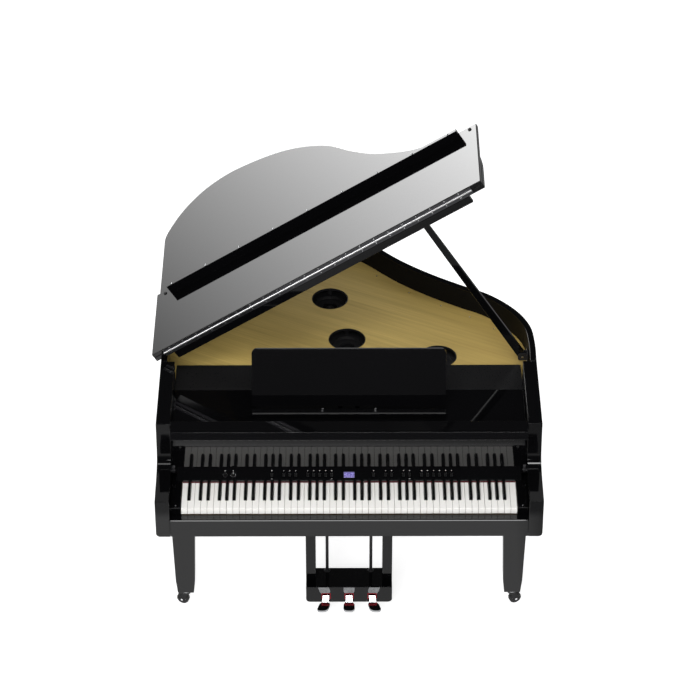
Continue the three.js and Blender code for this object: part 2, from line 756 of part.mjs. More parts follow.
// Shelf boards, ledge, folding rest and its strut
function addMusicRest() {
  const half = armInner - slide;
  const bottom = shelfTop - shelfThickness + fit;
  const shelf = plate(rectangle(-half, half, shelfFront, shelfSplit - fit), bottom, shelfTop, slipEdge / 2);
  addMesh(piano, 'music_shelf', shelf, polishedBlack());
  const rear = plate(rectangle(-half, half, shelfSplit, shelfRear), bottom, shelfTop, slipEdge / 2);
  addMesh(piano, 'rear_shelf', rear, satinBlack());
  const ledgeBottom = shelfTop + fit;
  const ledgeTop = shelfTop + ledgeThickness;
  const ledge = profile(rounded([
    [ledgeFront, ledgeBottom], [ledgeFront + ledgeDepth, ledgeBottom],
    [ledgeFront + ledgeDepth, ledgeTop - ledgeLip],
    [ledgeFront + ledgeLipDepth, ledgeTop - ledgeLip], [ledgeFront + ledgeLipDepth, ledgeTop],
    [ledgeFront, ledgeTop, slipEdge],
  ]), -restHalfWidth, restHalfWidth);
  addMesh(piano, 'rest_ledge', ledge, polishedBlack());

  const frame = new THREE.Group();
  frame.position.set(0, restPivotY, restPivotZ);
  frame.rotation.x = -restLean * degree;
  piano.add(frame);
  const panel = elevation(rounded([
    [-restHalfWidth, 0], [restHalfWidth, 0], [restHalfWidth, restHeight, restCorner],
    [-restHalfWidth, restHeight, restCorner],
  ]), -restFaceSet, restThickness - restFaceSet, slipEdge / 2);
  const backFace = restThickness - restFaceSet;
  const pieces = [panel];
  const cutters = [];
  for (const side of [-1, 1]) {
    const inner = side * (strutHalfWidth + slide);
    const outer = side * (strutHalfWidth + slide + earThickness);
    const left = Math.min(inner, outer);
    const right = Math.max(inner, outer);
    const low = strutHeight - earHeight / 2;
    const high = strutHeight + earHeight / 2;
    pieces.push(block(left, right, backFace - slipEdge, backFace + earDepth, low, high));
    cutters.push(crossRod(strutPin + slide, left - fit, right + fit).translate(0, strutOffset, strutHeight));
  }
  addMesh(frame, 'music_rest', cut(join(pieces), cutters), polishedBlack());

  const strutFrame = new THREE.Group();
  strutFrame.position.set(0, strutOffset, strutHeight);
  strutFrame.rotation.x = (restLean - strutFall) * degree;
  frame.add(strutFrame);
  const leg = block(-strutHalfWidth, strutHalfWidth, 0, strutLength, -strutThickness / 2, strutThickness / 2);
  const pin = crossRod(strutPin, -strutHalfWidth - earThickness, strutHalfWidth + earThickness);
  addMesh(strutFrame, 'rest_strut', join([leg, pin]), brightMetal());
}

// Soundboard with three round openings, and the speakers below them
function addSoundboard() {
  const board = plate(insideOutline(slide), soundboardTop - soundboardThickness, soundboardTop);
  const bottom = soundboardTop - soundboardThickness - overrun;
  const holes = speakerPlaces.map(([x, y]) =>
    uprightRod(speakerRadius, bottom, soundboardTop + overrun, roundSides * 2).translate(x, y, 0));
  addMesh(piano, 'soundboard', cut(board, holes), spruce());
  const half = speakerRadius + baffleMargin;
  const beds = speakerPlaces.map(([x, y]) =>
    uprightRod(half, baffleTop - baffleThickness, baffleTop, roundSides).translate(x, y, 0));
  const [first, second, third] = speakerPlaces.map(([x, y]) => new THREE.Vector2(x, y));
  const bridges = [[first, second], [second, third]].map(([start, end]) => {
    const along = end.clone().sub(start);
    const outline = rectangle(0, along.length(), -half / 2, half / 2);
    const strip = plate(outline, baffleTop - baffleThickness, baffleTop);
    return strip.rotateZ(along.angle()).translate(start.x, start.y, 0);
  });
  const cones = speakerPlaces.map(([x, y]) => new THREE.CylinderGeometry(
    speakerRadius, speakerRadius * coneFloorShare, coneDepth + fit, roundSides,
  ).rotateX(Math.PI / 2).translate(x, y, baffleTop - (coneDepth - fit) / 2));
  const posts = speakerPlaces.flatMap(([x, y]) => [...Array(bafflePostCount).keys()].map((corner) => {
    const angle = Math.PI / 2 + (2 * Math.PI * corner) / bafflePostCount;
    const place = new THREE.Vector2(half - bafflePostRadius, 0).rotateAround(new THREE.Vector2(), angle);
    const post = uprightRod(bafflePostRadius, baffleTop - overrun, soundboardTop - soundboardThickness - fit);
    return post.translate(x + place.x, y + place.y, 0);
  }));
  addMesh(piano, 'speaker_baffle', cut(join([...beds, ...bridges, ...posts]), cones), darkPaper());
}

// Lid: everything in this frame is laid out along the closed lid and turned open about its left edge
const lidFrame = new THREE.Group();
const lidHalf = caseHalfWidth;
const lidLeft = -lidLeftOverhang;
const lidRight = 2 * lidHalf + lidRightOverhang;
const frontLidBottom = lidThickness + fit;
const frontLidTop = lidThickness + fit + frontLidThickness;

function lidOutline() {
  const curve = new THREE.SplineCurve(lidShares.map(([across, back]) => {
    const overhang = across > 0 ? lidRightOverhang : lidLeftOverhang;
    return new THREE.Vector2(lidHalf + across * (lidHalf + overhang), armEnd + back * tailRun);
  }));
  const points = curve.getSpacedPoints(lidSteps);
  return [
    new THREE.Vector2(lidLeft, foldPlace), new THREE.Vector2(lidRight, foldPlace), ...points,
  ];
}

function addLid() {
  lidFrame.position.set(-caseHalfWidth, 0, lidAxisHeight);
  lidFrame.rotation.y = -lidOpen * degree;
  piano.add(lidFrame);
  const batten = block(
    battenInset, 2 * lidHalf - battenInset, foldPlace + lidEdge, foldPlace + battenDepth,
    -battenHeight, lidEdge,
  );
  const cupMiddle = propReach().along;
  const cup = block(
    cupMiddle - cupLength / 2, cupMiddle + cupLength / 2,
    propPivotY - cupWidth / 2, propPivotY + cupWidth / 2, -cupThickness, lidEdge,
  );
  const board = plate(lidOutline(), 0, lidThickness, lidEdge);
  addMesh(lidFrame, 'main_lid', join([board, batten, cup]), polishedBlack());
  const skirt = elevation(
    rectangle(skirtLeft, skirtRight, frontLidTop + fit, frontLidTop + skirtHeight), skirtPlace,
    skirtPlace + skirtThickness, slipEdge / 2,
  );
  addMesh(lidFrame, 'front_lid_skirt', skirt, polishedBlack());

  const rodY = foldPlace - rodProud;
  const rodN = lidThickness + fit / 2;
  const rodLeft = lidLeft + rodInset;
  const rodRight = lidRight - rodInset;
  const leafFront = foldPlace - fit - leafThickness;
  const barrel = crossRod(rodRadius, rodLeft, rodRight).translate(0, rodY, rodN);
  const lower = block(rodLeft, rodRight, leafFront, foldPlace - fit, leafMargin, rodN);
  addMesh(lidFrame, 'lid_hinge_leaf', join([barrel, lower]), brightMetal());
  const upper = block(
    rodLeft, rodRight, leafFront, foldPlace + lidEdge, rodN + leafRoot, frontLidTop - leafMargin,
  );
  const flap = plate(
    rectangle(lidLeft, lidRight, foldPlace, foldPlace + frontLidDepth), frontLidBottom, frontLidTop, lidEdge,
  );
  addMesh(lidFrame, 'front_lid', join([flap, upper]), polishedBlack());
}

// Prop: stands square to the open lid
function propReach() {
  const across = propPivotX + caseHalfWidth;
  const up = propPivotZ - lidAxisHeight;
  const angle = lidOpen * degree;
  return {
    along: across * Math.cos(angle) + up * Math.sin(angle),
    length: across * Math.sin(angle) - up * Math.cos(angle),
  };
}

function addProp() {
  const length = propReach().length - cupThickness - fit;
  const frame = new THREE.Group();
  frame.position.set(propPivotX, propPivotY, propPivotZ);
  frame.rotation.y = -lidOpen * degree;
  piano.add(frame);
  const footHalf = propFootWidth / 2;
  const tipHalf = propTipWidth / 2;
  const stick = elevation(rounded([
    [-footHalf, -footHalf, footHalf - fit], [footHalf, -footHalf, footHalf - fit],
    [tipHalf, length, tipHalf / 2], [-tipHalf, length, tipHalf / 2],
  ]), -propThickness / 2, propThickness / 2, slipEdge / 2);
  const bore = rod(propPin + slide, propThickness + overrun);
  addMesh(frame, 'prop', cut(stick, [bore]), polishedBlack());

  const wall = caseHalfWidth - rimThickness - slide - bracketSeat;
  const base = block(
    wall - bracketWall, wall, propPivotY - bracketHalfLength, propPivotY + bracketHalfLength,
    bracketBottom, bracketTop,
  );
  const pieces = [base];
  const gap = propThickness / 2 + slide;
  const reach = propPivotX - propFootWidth / 2;
  const middle = (bracketBottom + bracketTop) / 2;
  for (const side of [-1, 1]) {
    const near = propPivotY + side * gap;
    const far = propPivotY + side * (gap + bracketCheek);
    pieces.push(block(
      reach, wall - fit, Math.min(near, far), Math.max(near, far),
      middle - propFootWidth / 2, middle + propFootWidth / 2,
    ));
  }
  const pinHalf = gap + bracketCheek;
  pieces.push(rod(propPin, 2 * pinHalf).translate(propPivotX, propPivotY, propPivotZ));
  addMesh(piano, 'prop_bracket', join(pieces), satinBlack());
}

// A tapered leg with a swivelling caster
function addLeg(side, x, y) {
  const turn = casterTurns[side] * degree;
  const top = caseBottom - fit;
  const front = y - (casterY - legFront);
  const curveTop = legBottom + legFootCurve;
  const taper = (legTopHalf - legFootHalf) / (top - legBottom);
  const curveHalf = legFootHalf + taper * legFootCurve + legFootCurveOut;
  const leg = elevation(rounded([
    [x - legFootHalf, legBottom], [x + legFootHalf, legBottom], [x + curveHalf, curveTop],
    [x + legTopHalf, top], [x - legTopHalf, top], [x - curveHalf, curveTop],
  ]), front, front + legDepth, legEdge);
  addMesh(piano, `${side}_leg`, leg, polishedBlack());

  const caster = new THREE.Group();
  caster.position.set(x, y, 0);
  caster.rotation.z = turn;
  piano.add(caster);
  const axleHeight = wheelRadius * Math.cos(Math.PI / wheelSegments);
  const crown = uprightRod(forkCrownRadius, forkCrownBottom, legBottom - fit, roundSides);
  const swivel = uprightRod(
    swivelPlateRadius, legBottom - fit - swivelPlateThickness, legBottom - fit, roundSides,
  );
  const pieces = [crown, swivel];
  const inner = wheelWidth / 2 + forkGap;
  for (const face of [-1, 1]) {
    const left = Math.min(face * inner, face * (inner + forkPlate));
    const cheek = profile(rounded([
      [casterTrail - forkEye, axleHeight - forkEye, forkEye / 2],
      [casterTrail + forkEye, axleHeight - forkEye, forkEye / 2],
      [casterTrail + forkEye, axleHeight], [forkCrownRadius / 2, forkCrownBottom + forkEye],
      [-forkCrownRadius / 2, forkCrownBottom + forkEye],
    ]), left, left + forkPlate);
    pieces.push(cheek);
  }
  const axle = crossRod(axleRadius, -inner - forkPlate, inner + forkPlate);
  pieces.push(axle.translate(0, casterTrail, axleHeight));
  addMesh(caster, `${side}_caster_fork`, join(pieces), brightMetal());

  const halfWidth = wheelWidth / 2;
  const tread = [
    [wheelBore, -halfWidth], [wheelRadius - wheelCrown, -halfWidth], [wheelRadius, -halfWidth + wheelCrown],
    [wheelRadius, halfWidth - wheelCrown], [wheelRadius - wheelCrown, halfWidth], [wheelBore, halfWidth],
    [wheelBore, -halfWidth],
  ].map(([a, b]) => new THREE.Vector2(a, b));
  const wheel = new THREE.LatheGeometry(tread, wheelSegments);
  wheel.rotateY(Math.PI / wheelSegments).rotateZ(-Math.PI / 2).translate(0, casterTrail, axleHeight);
  addMesh(caster, `${side}_caster_wheel`, geometryOf(solidOf(wheel)), ebonyBlack());
}

// Pedal lyre
function addLyre() {
  const rear = lyreFront + lyreDepth;
  const box = elevation(rounded([
    [-lyreHalfWidth, lyreBottom, lyreCorner], [lyreHalfWidth, lyreBottom, lyreCorner],
    [lyreHalfWidth, lyreTop], [-lyreHalfWidth, lyreTop],
  ]), lyreFront, rear, slipEdge);
  const pedalPlaces = [-pedalSpacing, 0, pedalSpacing];
  const slots = pedalPlaces.map((x) => block(
    x - slotHalfWidth, x + slotHalfWidth, lyreFront - overrun, lyreFront + slotDepth, slotBottom, slotTop,
  ));
  const pieces = [cut(box, slots)];
  const postFront = lyreFront + postSetback;
  for (const [name, side] of [['left', -1], ['right', 1]]) {
    const outer = side * lyreHalfWidth;
    const inner = side * (lyreHalfWidth - postWidth);
    const post = plate(
      rectangle(Math.min(outer, inner), Math.max(outer, inner), postFront, postFront + postDepth),
      lyreTop - slipEdge, caseBottom - fit,
    );
    pieces.push(post);
    const brace = uprightRod(braceRadius, lyreTop + fit, caseBottom - fit);
    addMesh(piano, `lyre_${name}_brace`, brace.translate(side * braceX, braceY, 0), satinBlack());
  }
  addMesh(piano, 'lyre', join(pieces), polishedBlack());
  ['left', 'middle', 'right'].forEach((name, index) => {
    const x = pedalPlaces[index];
    const splay = Math.tan(pedalSplay * degree) * Math.sign(x);
    const outShare = (y) => Math.max(lyreFront - y, 0) / (lyreFront - pedalToeTip);
    const shift = (y) => x + (pedalRear - y) * splay * outShare(y);
    const toe = (y, half) => [[shift(y) - half, y], [shift(y) + half, y]];
    const [tipLeft, tipRight] = toe(pedalToeTip, pedalToeHalf);
    const [rearLeft, rearRight] = toe(pedalToeRear, pedalNeckHalf);
    const boss = slotHalfWidth - slide;
    const bossFront = pedalRear - pedalThickness;
    const plan = plate(rounded([
      [...tipLeft, pedalToeHalf / 2], [...tipRight, pedalToeHalf / 2], rearRight,
      [x + pedalNeckHalf, lyreFront], [x + pedalNeckHalf, bossFront],
      [x + boss, bossFront], [x + boss, pedalRear], [x - boss, pedalRear],
      [x - boss, bossFront], [x - pedalNeckHalf, bossFront], [x - pedalNeckHalf, lyreFront], rearLeft,
    ]), lyreBottom, lyreTop);
    const neckTop = lyreFront - pedalNeckGap;
    const neckFoot = neckTop - pedalNeckRun;
    const side = profile(rounded([
      [pedalToeTip - fit, pedalToeTop - pedalThickness], [neckFoot, pedalToeTop - pedalThickness],
      [neckTop, pedalNeckTop - pedalThickness], [pedalRear + fit, pedalNeckTop - pedalThickness],
      [pedalRear + fit, pedalNeckTop], [neckTop, pedalNeckTop],
      [neckFoot, pedalToeTop], [pedalToeTip - fit, pedalToeTop],
    ]), x - pedalSpacing, x + pedalSpacing);
    addMesh(piano, `${name}_pedal`, geometryOf(solidOf(plan).intersect(solidOf(side))), brightMetal());
  });
}

addArms();
addRim();
addBoards();
addKeys();
addPanel();
addKeyCover();
addMusicRest();
addSoundboard();
addLid();
addProp();
addLeg('left', -legX, casterY);
addLeg('right', legX, casterY);
addLeg('rear', rearLegX, rearLegY);
addLyre();

// The origin is the middle of the whole piano, on the floor
piano.updateMatrixWorld(true);
const bounds = new THREE.Box3().setFromObject(piano, true);
const centre = bounds.getCenter(new THREE.Vector3());
piano.position.set(-centre.x, -centre.y, -bounds.min.z);

export default piano;
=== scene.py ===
import math

import bmesh
import bpy
from mathutils import Matrix, Vector


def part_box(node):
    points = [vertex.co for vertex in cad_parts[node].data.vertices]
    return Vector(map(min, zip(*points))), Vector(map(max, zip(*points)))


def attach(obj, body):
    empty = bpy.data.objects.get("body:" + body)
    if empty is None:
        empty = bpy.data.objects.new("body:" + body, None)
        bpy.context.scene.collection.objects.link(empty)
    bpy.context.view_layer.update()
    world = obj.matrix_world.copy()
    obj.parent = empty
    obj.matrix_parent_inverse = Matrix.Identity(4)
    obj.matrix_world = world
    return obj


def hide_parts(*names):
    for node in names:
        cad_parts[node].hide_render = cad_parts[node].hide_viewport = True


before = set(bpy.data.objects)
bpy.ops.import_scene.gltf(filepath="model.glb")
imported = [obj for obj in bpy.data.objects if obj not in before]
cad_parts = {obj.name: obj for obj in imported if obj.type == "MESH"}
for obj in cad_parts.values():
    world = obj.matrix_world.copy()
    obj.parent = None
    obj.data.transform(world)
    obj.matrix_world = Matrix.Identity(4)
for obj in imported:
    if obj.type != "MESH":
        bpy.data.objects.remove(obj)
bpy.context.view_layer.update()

# Shapes are drawn in millimetres from the front edge of the white keys, on the floor, at the
# middle of the keyboard, and are moved into the frame by this step
slipLow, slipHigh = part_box("key_slip")
layout = {"slipFront": -38, "caseHalf": 703, "rimInner": 679, "armInner": 651, "bottom": 640, "rimTop": 988}
origin = Vector(((slipLow.x + slipHigh.x) / 2, slipLow.y - layout["slipFront"] / 1000, 0))
toFrame = Matrix.Translation(origin) @ Matrix.Scale(0.001, 4)
identity = Matrix.Identity(4)


# a shader value that can be added, scaled and clamped like a number
class Wire:
    def __init__(self, tree, socket):
        self.tree = tree
        self.socket = socket

    def math(self, operation, *others):
        node = self.tree.nodes.new("ShaderNodeMath")
        node.operation = operation
        for index, value in enumerate((self,) + others):
            if isinstance(value, Wire):
                self.tree.links.new(value.socket, node.inputs[index])
            else:
                node.inputs[index].default_value = value
        return Wire(self.tree, node.outputs[0])

    def flipped(self, operation, other):
        node = self.tree.nodes.new("ShaderNodeMath")
        node.operation = operation
        node.inputs[0].default_value = other
        self.tree.links.new(self.socket, node.inputs[1])
        return Wire(self.tree, node.outputs[0])

    def __add__(self, other):
        return self.math("ADD", other)

    __radd__ = __add__

    def __sub__(self, other):
        return self.math("SUBTRACT", other)

    def __rsub__(self, other):
        return self.flipped("SUBTRACT", other)

    def __mul__(self, other):
        return self.math("MULTIPLY", other)

    __rmul__ = __mul__

    def clamped(self, low=0.0, high=1.0):
        return self.math("MAXIMUM", low).math("MINIMUM", high)


class Finish:
    def __init__(self, name):
        self.material = bpy.data.materials.new(name)
        self.material.use_nodes = True
        self.tree = self.material.node_tree
        self.tree.nodes.clear()
        self.shader = None

    def node(self, kind, settings=None, output=0, **sockets):
        node = self.tree.nodes.new(kind)
        for name, value in (settings or {}).items():
            if name == "stops":
                ramp = node.color_ramp
                while len(ramp.elements) < len(value):
                    ramp.elements.new(1.0)
                for element, (place, colour) in zip(ramp.elements, value):
                    element.position = place
                    element.color = (*colour, 1.0) if len(colour) == 3 else colour
            else:
                setattr(node, name, value)
        for name, value in sockets.items():
            key = int(name[1:]) if name[0] == "_" else name.replace("_", " ")
            if isinstance(value, Wire):
                self.tree.links.new(value.socket, node.inputs[key])
            else:
                node.inputs[key].default_value = value
        return Wire(self.tree, node.outputs[output]) if len(node.outputs) else None

    def coords(self, scale=(1, 1, 1), turn=(0, 0, 0)):
        place = self.node("ShaderNodeTexCoord", output=3)
        return self.node("ShaderNodeMapping", Vector=place, Scale=scale, Rotation=turn)

    def noise(self, vector, scale, detail=3.0, rough=0.5):
        return self.node("ShaderNodeTexNoise", Vector=vector, Scale=scale, Detail=detail, Roughness=rough)

    def mixed(self, share, first, second):
        node = self.tree.nodes.new("ShaderNodeMix")
        node.data_type = "RGBA"
        for index, value in ((0, share), (6, first), (7, second)):
            if isinstance(value, Wire):
                self.tree.links.new(value.socket, node.inputs[index])
            elif index == 0:
                node.inputs[index].default_value = value
            else:
                node.inputs[index].default_value = (*value, 1.0)
        return Wire(self.tree, node.outputs[2])

    def bump(self, height, distance, strength=1.0):
        return self.node("ShaderNodeBump", Height=height, Distance=distance, Strength=strength)

    def surface(self, **sockets):
        self.shader = self.node("ShaderNodeBsdfPrincipled", **sockets)
        self.node("ShaderNodeOutputMaterial", Surface=self.shader)
        return self.material


def makeLacquer(name="polishedLacquer", density=1.5):
    look = {"deep": (0.0013, 0.0013, 0.0015), "lifted": (0.0022, 0.0022, 0.0026),
            "gloss": 0.035, "haze": 0.03}
    finish = Finish(name)
    place = finish.coords()
    cloud = finish.noise(place, 3.0)
    fine = finish.noise(place, 42.0, 4.0, 0.6)
    wave = finish.noise(place, 9.0, 1.0)
    return finish.surface(
        Base_Color=finish.mixed(cloud, look["deep"], look["lifted"]),
        Roughness=look["gloss"] + cloud * fine * look["haze"],
        IOR=density,
        Normal=finish.bump(wave, 0.00006, 0.35))


def makeSatin(name, dark, light, roughness, grain=180.0, shine=0.5):
    finish = Finish(name)
    place = finish.coords()
    cloud = finish.noise(place, 7.0)
    fine = finish.noise(place, grain, 2.0, 0.7)
    return finish.surface(
        Base_Color=finish.mixed(cloud, dark, light),
        Roughness=roughness + (fine - 0.5) * 0.16,
        Specular_IOR_Level=shine,
        Normal=finish.bump(fine, 0.0002, 0.3))


def makeKeyWhite():
    look = {"warm": (0.80, 0.785, 0.75), "cool": (0.86, 0.85, 0.825)}
    finish = Finish("whiteKeyPlastic")
    place = finish.coords()
    stretched = finish.coords(scale=(42.5, 1.0, 1.0))
    each = finish.noise(stretched, 1.0, 1.0)
    fine = finish.noise(place, 260.0, 2.0)
    return finish.surface(
        Base_Color=finish.mixed(each, look["warm"], look["cool"]),
        Roughness=0.2 + fine * 0.1,
        Normal=finish.bump(fine, 0.00004, 0.2))


def makeSpruce():
    look = {"pale": (0.80, 0.60, 0.195), "line": (0.38, 0.26, 0.07), "turn": math.radians(27.6)}
    finish = Finish("varnishedSpruce")
    along = finish.coords(turn=(0, 0, look["turn"]))
    stretched = finish.node("ShaderNodeVectorMath", {"operation": "MULTIPLY"}, _0=along, _1=(1.4, 60.0, 1.0))
    broad = finish.node("ShaderNodeVectorMath", {"operation": "MULTIPLY"}, _0=along, _1=(0.8, 11.0, 1.0))
    lines = finish.noise(stretched, 1.6, 6.0, 0.7)
    bands = finish.noise(broad, 1.1, 2.0)
    pores = finish.noise(finish.node("ShaderNodeVectorMath", {"operation": "MULTIPLY"}, _0=along,
                                     _1=(24.0, 900.0, 1.0)), 1.0, 2.0)
    grain = (lines * 1.05 + bands * 0.6 - 0.36).clamped()
    # painted shade: the wood's colour is darkened toward the right, toward the bentside, in place of the
    # shade that falls on the board there
    across = finish.node("ShaderNodeSeparateXYZ", output=0, Vector=finish.coords())
    paintedShadeToRight = ((across - 0.15) * 2.2).clamped() * 0.55
    base = finish.mixed(paintedShadeToRight, finish.mixed(grain, look["line"], look["pale"]), look["line"])
    return finish.surface(
        Base_Color=finish.mixed((pores - 0.62).clamped() * 2.2, base, look["line"]),
        Roughness=0.34 + lines * 0.14,
        Normal=finish.bump(lines, 0.0002, 0.35))


def makeChrome(name, tint, low, high, grain=55.0):
    finish = Finish(name)
    place = finish.coords()
    smear = finish.noise(place, grain, 3.0)
    return finish.surface(
        Base_Color=finish.mixed(smear, [channel * 0.92 for channel in tint], tint),
        Metallic=1.0,
        Roughness=low + smear * (high - low),
        Normal=finish.bump(smear, 0.00002, 0.2))


def makeFelt(name, dark, light):
    finish = Finish(name)
    place = finish.coords()
    fuzz = finish.noise(place, 900.0, 3.0, 0.8)
    cloud = finish.noise(place, 40.0)
    return finish.surface(
        Base_Color=finish.mixed(cloud * 0.5 + fuzz * 0.5, dark, light),
        Roughness=0.92 + fuzz * 0.06,
        Normal=finish.bump(fuzz, 0.0006, 0.8))


def makeScreen():
    look = {"blue": (0.075, 0.062, 0.2), "pale": (0.34, 0.3, 0.66)}
    finish = Finish("litScreen")
    place = finish.coords()
    rows = finish.node("ShaderNodeTexWave", {"bands_direction": "Y"}, Vector=place, Scale=90.0,
                       Distortion=0.0)
    cells = finish.noise(finish.coords(scale=(260.0, 400.0, 1.0)), 1.0, 0.0)
    share = ((rows - 0.45) * 2.0).clamped() * ((cells - 0.4) * 4.0).clamped()
    colour = finish.mixed(share, look["blue"], look["pale"])
    return finish.surface(Base_Color=colour, Roughness=0.12, Emission_Color=colour, Emission_Strength=0.55)


finishes = {
    "lacquer": makeLacquer(),
    "coverLacquer": makeLacquer("coverLacquer", 1.66),
    "satinBlack": makeSatin("satinBlackPaint", (0.010, 0.010, 0.011), (0.017, 0.017, 0.018), 0.42),
    "shelfSatin": makeSatin("satinShelfPaint", (0.006, 0.006, 0.0065), (0.010, 0.010, 0.0105), 0.3),
    "keyWhite": makeKeyWhite(),
    "keyBlack": makeSatin("blackKeyPlastic", (0.002, 0.002, 0.002), (0.0035, 0.0035, 0.0035), 0.24,
                          420.0, 0.3),
    "spruce": makeSpruce(),
    "chrome": makeChrome("brightChrome", (0.82, 0.83, 0.85), 0.05, 0.16),
    "hingeSteel": makeChrome("plainSteel", (0.95, 0.95, 0.96), 0.26, 0.34, 160.0),
    "steel": makeChrome("satinSteel", (0.66, 0.66, 0.68), 0.2, 0.36, 160.0),
    "darkScrew": makeChrome("darkenedSteel", (0.16, 0.16, 0.17), 0.24, 0.4, 160.0),
    "redFelt": makeFelt("redFelt", (0.16, 0.006, 0.012), (0.33, 0.02, 0.03)),
    "rubber": makeSatin("blackRubber", (0.008, 0.008, 0.008), (0.014, 0.014, 0.014), 0.62, 500.0),
    "cone": makeSatin("paperCone", (0.004, 0.004, 0.0045), (0.008, 0.008, 0.0085), 0.8, 700.0, 0.2),
    "bareWood": makeSatin("bareWood", (0.20, 0.14, 0.08), (0.27, 0.20, 0.12), 0.6),
    "screen": makeScreen(),
    "mark": makeSatin("printedMark", (0.62, 0.62, 0.62), (0.8, 0.8, 0.8), 0.5),
    "controlBlack": makeSatin("controlPlastic", (0.002, 0.002, 0.0022), (0.0035, 0.0035, 0.0037), 0.3,
                              320.0, 0.15),
    "boardBlack": makeSatin("stainedBoard", (0.008, 0.008, 0.009), (0.014, 0.014, 0.015), 0.46),
    "casterBlack": makeSatin("coatedMetal", (0.003, 0.003, 0.0033), (0.005, 0.005, 0.0055), 0.16,
                             320.0, 0.3),
    "lining": makeSatin("rimLining", (0.003, 0.003, 0.0032), (0.005, 0.005, 0.0052), 0.6, 300.0, 0.1),
    "wineFelt": makeFelt("wineFelt", (0.045, 0.003, 0.006), (0.10, 0.008, 0.013)),
}
print("finishes ready")


axisOrder = {
    "x": lambda a, b, c: (c, a, b),
    "y": lambda a, b, c: (a, c, b),
    "z": lambda a, b, c: (a, b, c),
}


def smoothLine(points, steps):
    # even pull through the given points, as the case's curved walls run
    line = []
    for index in range(len(points) - 1):
        before = points[max(index - 1, 0)]
        start, end = points[index], points[index + 1]
        after = points[min(index + 2, len(points) - 1)]
        for step in range(steps):
            t = step / steps
            line.append(tuple(
                0.5 * (2 * s + (e - b) * t + (2 * b - 5 * s + 4 * e - a) * t * t
                       + (3 * s - b - 3 * e + a) * t ** 3)
                for b, s, e, a in zip(before, start, end, after)))
    line.append(points[-1])
    return line


def offsetLine(line, width):
    # the same line, shifted to the left of its run
    shifted = []
    for index, point in enumerate(line):
        ahead = line[min(index + 1, len(line) - 1)] - line[max(index - 1, 0)]
        shifted.append(point + Vector((-ahead.y, ahead.x)).normalized() * width)
    return shifted


def slab(corners, axis, start, end, edge=0.0, steps=3, cornerSteps=5):
    # a flat outline, rounded at the corners that carry a radius, pulled along one axis
    shape = bmesh.new()
    count = len(corners)
    verts = [shape.verts.new(axisOrder[axis](corner[0], corner[1], start)) for corner in corners]
    shape.faces.new(verts)
    for index, corner in enumerate(corners):
        if len(corner) > 2 and corner[2]:
            here = Vector(corner[:2])
            back = (Vector(corners[index - 1][:2]) - here).normalized()
            ahead = (Vector(corners[(index + 1) % count][:2]) - here).normalized()
            reach = corner[2] / math.tan(back.angle(ahead) / 2)
            bmesh.ops.bevel(shape, geom=[verts[index]], offset=reach, segments=cornerSteps, profile=0.5,
                            affect="VERTICES", clamp_overlap=False, material=-1)
    pulled = bmesh.ops.extrude_face_region(shape, geom=shape.faces[:])
    moved = [item for item in pulled["geom"] if isinstance(item, bmesh.types.BMVert)]
    bmesh.ops.translate(shape, verts=moved, vec=Vector(axisOrder[axis](0, 0, end - start)))
    bmesh.ops.recalc_face_normals(shape, faces=shape.faces[:])
    if edge:
        soften(shape, edge, steps)
    return shape


def soften(shape, width, steps=3, limit=28, keep=None):
    sharp = [edge for edge in shape.edges if len(edge.link_faces) == 2
             and edge.calc_face_angle(0) > math.radians(limit) and (keep is None or keep(edge))]
    bmesh.ops.bevel(shape, geom=sharp, offset=width, segments=steps, profile=0.5, affect="EDGES",
                    clamp_overlap=True, material=-1)
    return shape


def rectangle(left, right, front, rear, radius=0):
    return [(left, front, radius), (right, front, radius), (right, rear, radius), (left, rear, radius)]


def block(left, right, front, rear, bottom, top, edge=0.6, steps=2, radius=0):
    return slab(rectangle(left, right, front, rear, radius), "z", bottom, top, edge, steps)


# turns that point an upright shape along an axis
turnTo = {
    "x": Matrix.Rotation(math.radians(90), 4, "Y"), "-x": Matrix.Rotation(math.radians(-90), 4, "Y"),
    "y": Matrix.Rotation(math.radians(-90), 4, "X"), "-y": Matrix.Rotation(math.radians(90), 4, "X"),
    "z": identity, "-z": Matrix.Rotation(math.radians(180), 4, "X"),
}


def rod(radius, axis, start, end, across=(0, 0), edge=0.0, sides=24):
    # across holds the two other coordinates, in the order that axisOrder gives them
    shape = bmesh.new()
    middle = Vector(axisOrder[axis](across[0], across[1], (start + end) / 2))
    bmesh.ops.create_cone(shape, cap_ends=True, segments=sides, radius1=radius, depth=end - start,
                          radius2=radius, matrix=Matrix.Translation(middle) @ turnTo[axis])
    if edge:
        soften(shape, edge, 2, 60)
    return shape


def spun(line, place=(0, 0, 0), turn=identity, sides=48):
    # line holds (radius, height) points of half the section, closed on itself or on the axis
    shape = bmesh.new()
    verts = [shape.verts.new((radius, 0, height)) for radius, height in line]
    edges = [shape.edges.new((verts[index], verts[index + 1])) for index in range(len(verts) - 1)]
    if line[0][0] > 0 or line[-1][0] > 0:
        edges.append(shape.edges.new((verts[-1], verts[0])))
    bmesh.ops.spin(shape, geom=verts + edges, axis=(0, 0, 1), cent=(0, 0, 0), steps=sides,
                   angle=math.radians(360), use_merge=True)
    bmesh.ops.remove_doubles(shape, verts=shape.verts[:], dist=0.0005)
    bmesh.ops.recalc_face_normals(shape, faces=shape.faces[:])
    shape.transform(Matrix.Translation(place) @ turn)
    return shape


def joined(*shapes):
    whole = shapes[0]
    for extra in shapes[1:]:
        carrier = bpy.data.meshes.new("carrier")
        extra.to_mesh(carrier)
        whole.from_mesh(carrier)
        bpy.data.meshes.remove(carrier)
        extra.free()
    return whole


def placed(shape, name):
    mesh = bpy.data.meshes.new(name)
    shape.to_mesh(mesh)
    shape.free()
    piece = bpy.data.objects.new(name, mesh)
    bpy.context.scene.collection.objects.link(piece)
    return piece


